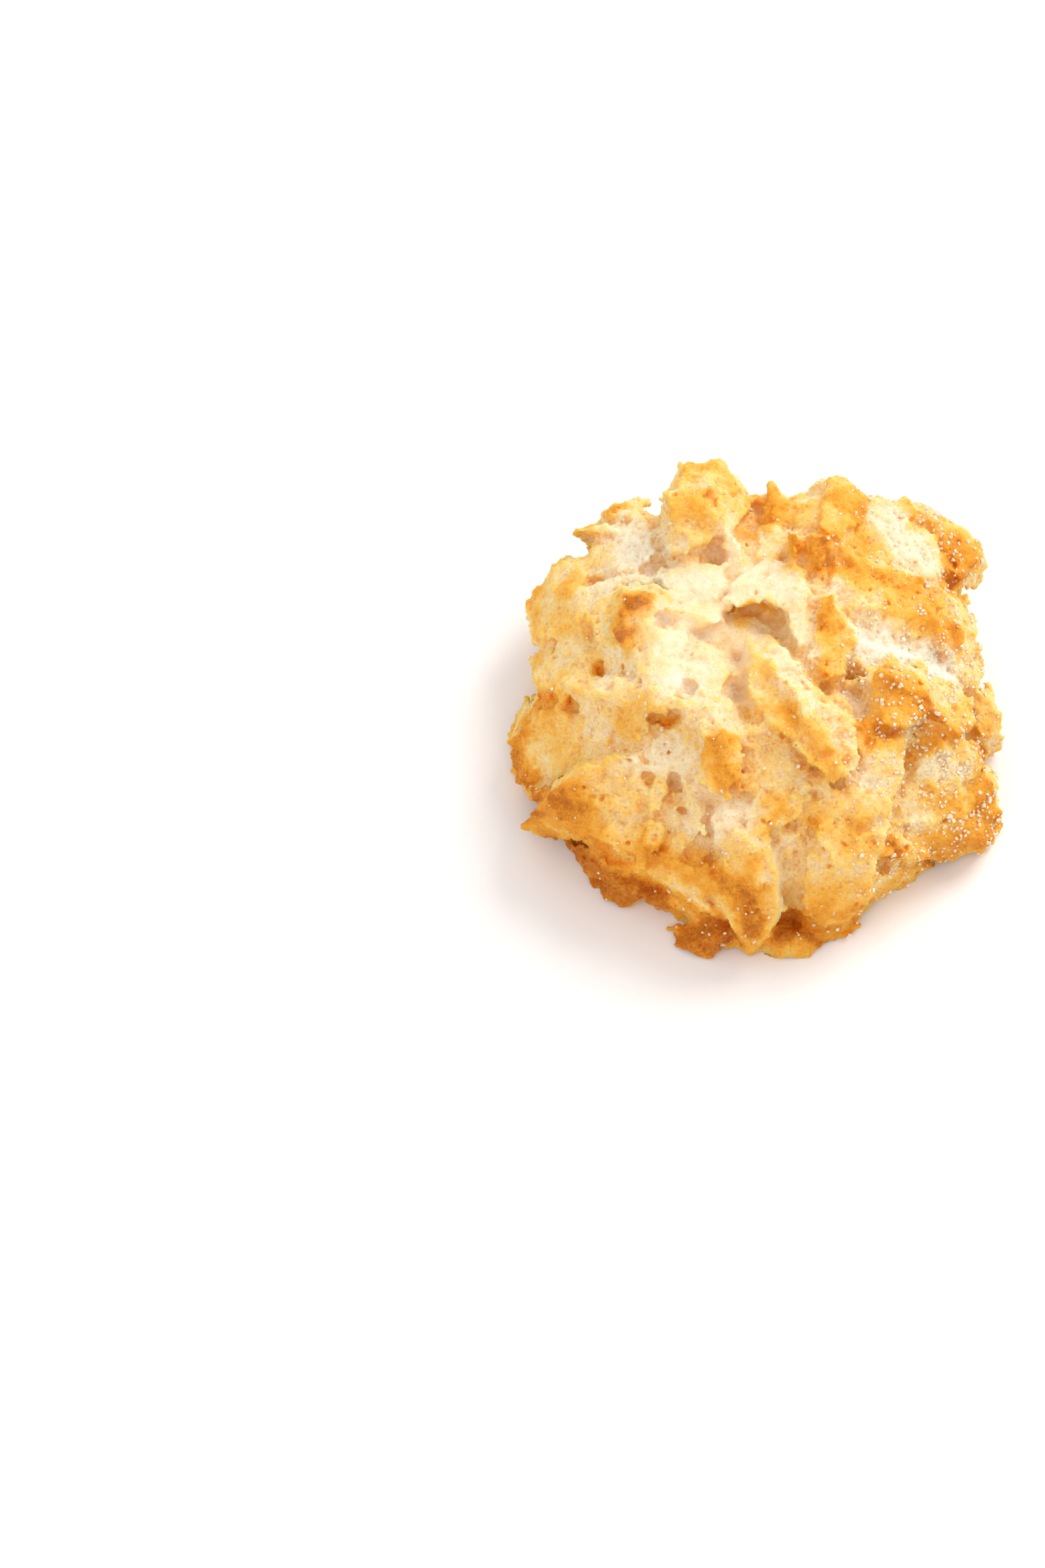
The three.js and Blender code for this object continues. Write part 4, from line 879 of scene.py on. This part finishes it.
# Painted shade: the crust's colour is multiplied by this where the dough shuts it in.
CREVICE_SHADE_TINT = (1.0, 0.755, 0.41, 1)
WHITENING_COLOUR = (0.97, 0.90, 0.79, 1)
# A mix node's sockets share their names, so these are their numbers for colours.
MIX_SHARE = 0
MIX_FIRST = 6
MIX_SECOND = 7
MIX_RESULT = 2

crust = bpy.data.materials.new("baked_dough")
crust.use_nodes = True
nodes = crust.node_tree.nodes
links = crust.node_tree.links
surface = nodes["Principled BSDF"]
surface.inputs["Roughness"].default_value = 0.5
surface.inputs["Specular IOR Level"].default_value = 0.18
surface.inputs["Subsurface Radius"].default_value = (1.0, 0.7, 0.38)
surface.inputs["Subsurface Scale"].default_value = 1.8 * MM
coordinates = nodes.new("ShaderNodeTexCoord")


def value_of(name):
    """The values that the mesh keeps by that name."""
    made = nodes.new("ShaderNodeAttribute")
    made.attribute_name = name
    return made.outputs["Fac"]


def grain(size, detail, roughness=0.6):
    """Random cloudy grain of that size over the dough."""
    made = nodes.new("ShaderNodeTexNoise")
    made.inputs["Scale"].default_value = 1 / size
    made.inputs["Detail"].default_value = detail
    made.inputs["Roughness"].default_value = roughness
    links.new(coordinates.outputs["Object"], made.inputs["Vector"])
    return made.outputs["Fac"]


def sum_of(first, second, share, start=0.0):
    """first + share * (second - start)."""
    moved = nodes.new("ShaderNodeMath")
    moved.operation = "MULTIPLY_ADD"
    links.new(second, moved.inputs[0])
    moved.inputs[1].default_value = share
    moved.inputs[2].default_value = -share * start
    total = nodes.new("ShaderNodeMath")
    total.operation = "ADD"
    links.new(first, total.inputs[0])
    links.new(moved.outputs[0], total.inputs[1])
    return total.outputs[0]


def ranged(value, low, high, at_low, at_high):
    """The value between low and high, brought to between at_low and at_high."""
    made = nodes.new("ShaderNodeMapRange")
    made.inputs["From Min"].default_value = low
    made.inputs["From Max"].default_value = high
    made.inputs["To Min"].default_value = at_low
    made.inputs["To Max"].default_value = at_high
    links.new(value, made.inputs["Value"])
    return made.outputs["Result"]


def blended(kind, share, first, second_colour):
    """The first colour with a fixed second one blended into it by that share."""
    made = nodes.new("ShaderNodeMix")
    made.data_type = "RGBA"
    made.blend_type = kind
    made.inputs[MIX_SECOND].default_value = second_colour
    links.new(share, made.inputs[MIX_SHARE])
    links.new(first, made.inputs[MIX_FIRST])
    return made.outputs[MIX_RESULT]


browning_and_shade = sum_of(value_of("toast_and_shade"), grain(0.3 * MM, 3, 0.7), 0.45, 0.5)
browning_and_shade = sum_of(browning_and_shade, grain(1.2 * MM, 3), 0.45, 0.5)
# Painted shade: the pits are coloured browner.
browning_and_shade = sum_of(browning_and_shade, value_of("pit"), 0.25)
ramp = nodes.new("ShaderNodeValToRGB")
for at, colour in CRUST_COLOURS[1:-1]:
    ramp.color_ramp.elements.new(at).color = colour
for number in (0, -1):
    ramp.color_ramp.elements[number].position = CRUST_COLOURS[number][0]
    ramp.color_ramp.elements[number].color = CRUST_COLOURS[number][1]
links.new(browning_and_shade, ramp.inputs["Fac"])
# Painted shade: the crust is darkened and made more orange where it is shut in.
crevice_shade_share = ranged(value_of("crevice_shade"), 0.08, 0.46, 0, 1)
shaded_crust = blended("MULTIPLY", crevice_shade_share, ramp.outputs["Color"], CREVICE_SHADE_TINT)
whitened = blended("MIX", value_of("whitening"), shaded_crust, WHITENING_COLOUR)
links.new(whitened, surface.inputs["Base Color"])
glow = ranged(value_of("toast_and_shade"), 0.25, 0.75, 0.75, 0.3)
links.new(glow, surface.inputs["Subsurface Weight"])

# The finest crumb, too small for the mesh.
cells = nodes.new("ShaderNodeTexVoronoi")
cells.inputs["Scale"].default_value = 1 / (0.42 * MM)
links.new(coordinates.outputs["Object"], cells.inputs["Vector"])
bump = nodes.new("ShaderNodeBump")
bump.inputs["Strength"].default_value = 1.0
bump.inputs["Distance"].default_value = 0.3 * MM
links.new(sum_of(grain(0.5 * MM, 4, 0.75), cells.outputs["Distance"], -0.45), bump.inputs["Height"])
links.new(bump.outputs["Normal"], surface.inputs["Normal"])
dough.data.materials.clear()
dough.data.materials.append(crust)
for face in dough.data.polygons:
    face.use_smooth = True

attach(dough, "root")
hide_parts("macaroon")


# ---- The sugar ----
# Coarse clear grains of sugar, rolled onto the dough before baking: small cubes with broken edges.
# They lie thickest down the right side and round the foot.

GRAINS = 2600
GRAIN_SIZES = (0.16, 0.34)  # in millimetres

random.seed(7)
grain_kinds = []
for number in range(5):
    bm = bmesh.new()
    bmesh.ops.create_cube(bm, size=1)
    for corner in bm.verts:
        corner.co += Vector([random.uniform(-0.14, 0.14) for _ in range(3)])
    bmesh.ops.bevel(
        bm, geom=bm.edges[:], affect="EDGES", offset=0.1, segments=1, profile=0.5, material=-1,
    )
    grain_kinds.append(bpy.data.meshes.new("grain_kind"))
    bm.to_mesh(grain_kinds[-1])
    bm.free()
points = points_of(dough)
normals = normals_of(dough)
to_right = step(points[:, 0], 6 * MM, 19 * MM)
at_foot = (1 - step(points[:, 2], 6 * MM, 15 * MM)) * step(-points[:, 1], 14 * MM, 22 * MM)
sown = 0.04 + 0.9 * to_right + 0.1 * at_foot
sown *= np.clip(0.5 + 1.2 * unevenness(points, 3 * MM, 2, 14), 0.05, 2)
sown *= step(normals[:, 2], -0.5, 0.1) * step(points[:, 2], 0.3 * MM, 0.8 * MM)
places = []
for number in random.choices(range(len(points)), weights=sown, k=GRAINS):
    size = random.uniform(*GRAIN_SIZES) * MM * (1 + 0.8 * random.random() ** 5)
    shape = (size, size * random.uniform(0.7, 1), size * random.uniform(0.6, 1), 1)
    place = Vector(points[number]) + Vector(normals[number]) * size * random.uniform(-0.1, 0.25)
    places.append(Matrix.Translation(place) @ any_turn() @ Matrix.Diagonal(shape))
bm = strewn(grain_kinds, places)
sugar = bpy.data.objects.new("sugar", bpy.data.meshes.new("sugar"))
bm.to_mesh(sugar.data)
bm.free()
scene.collection.objects.link(sugar)
clear = bpy.data.materials.new("clear_sugar")
clear.use_nodes = True
surface = clear.node_tree.nodes["Principled BSDF"]
surface.inputs["Base Color"].default_value = (0.98, 0.83, 0.62, 1)
surface.inputs["Roughness"].default_value = 0.12
surface.inputs["IOR"].default_value = 1.5
surface.inputs["Transmission Weight"].default_value = 0.25
sugar.data.materials.append(clear)
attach(sugar, "root")
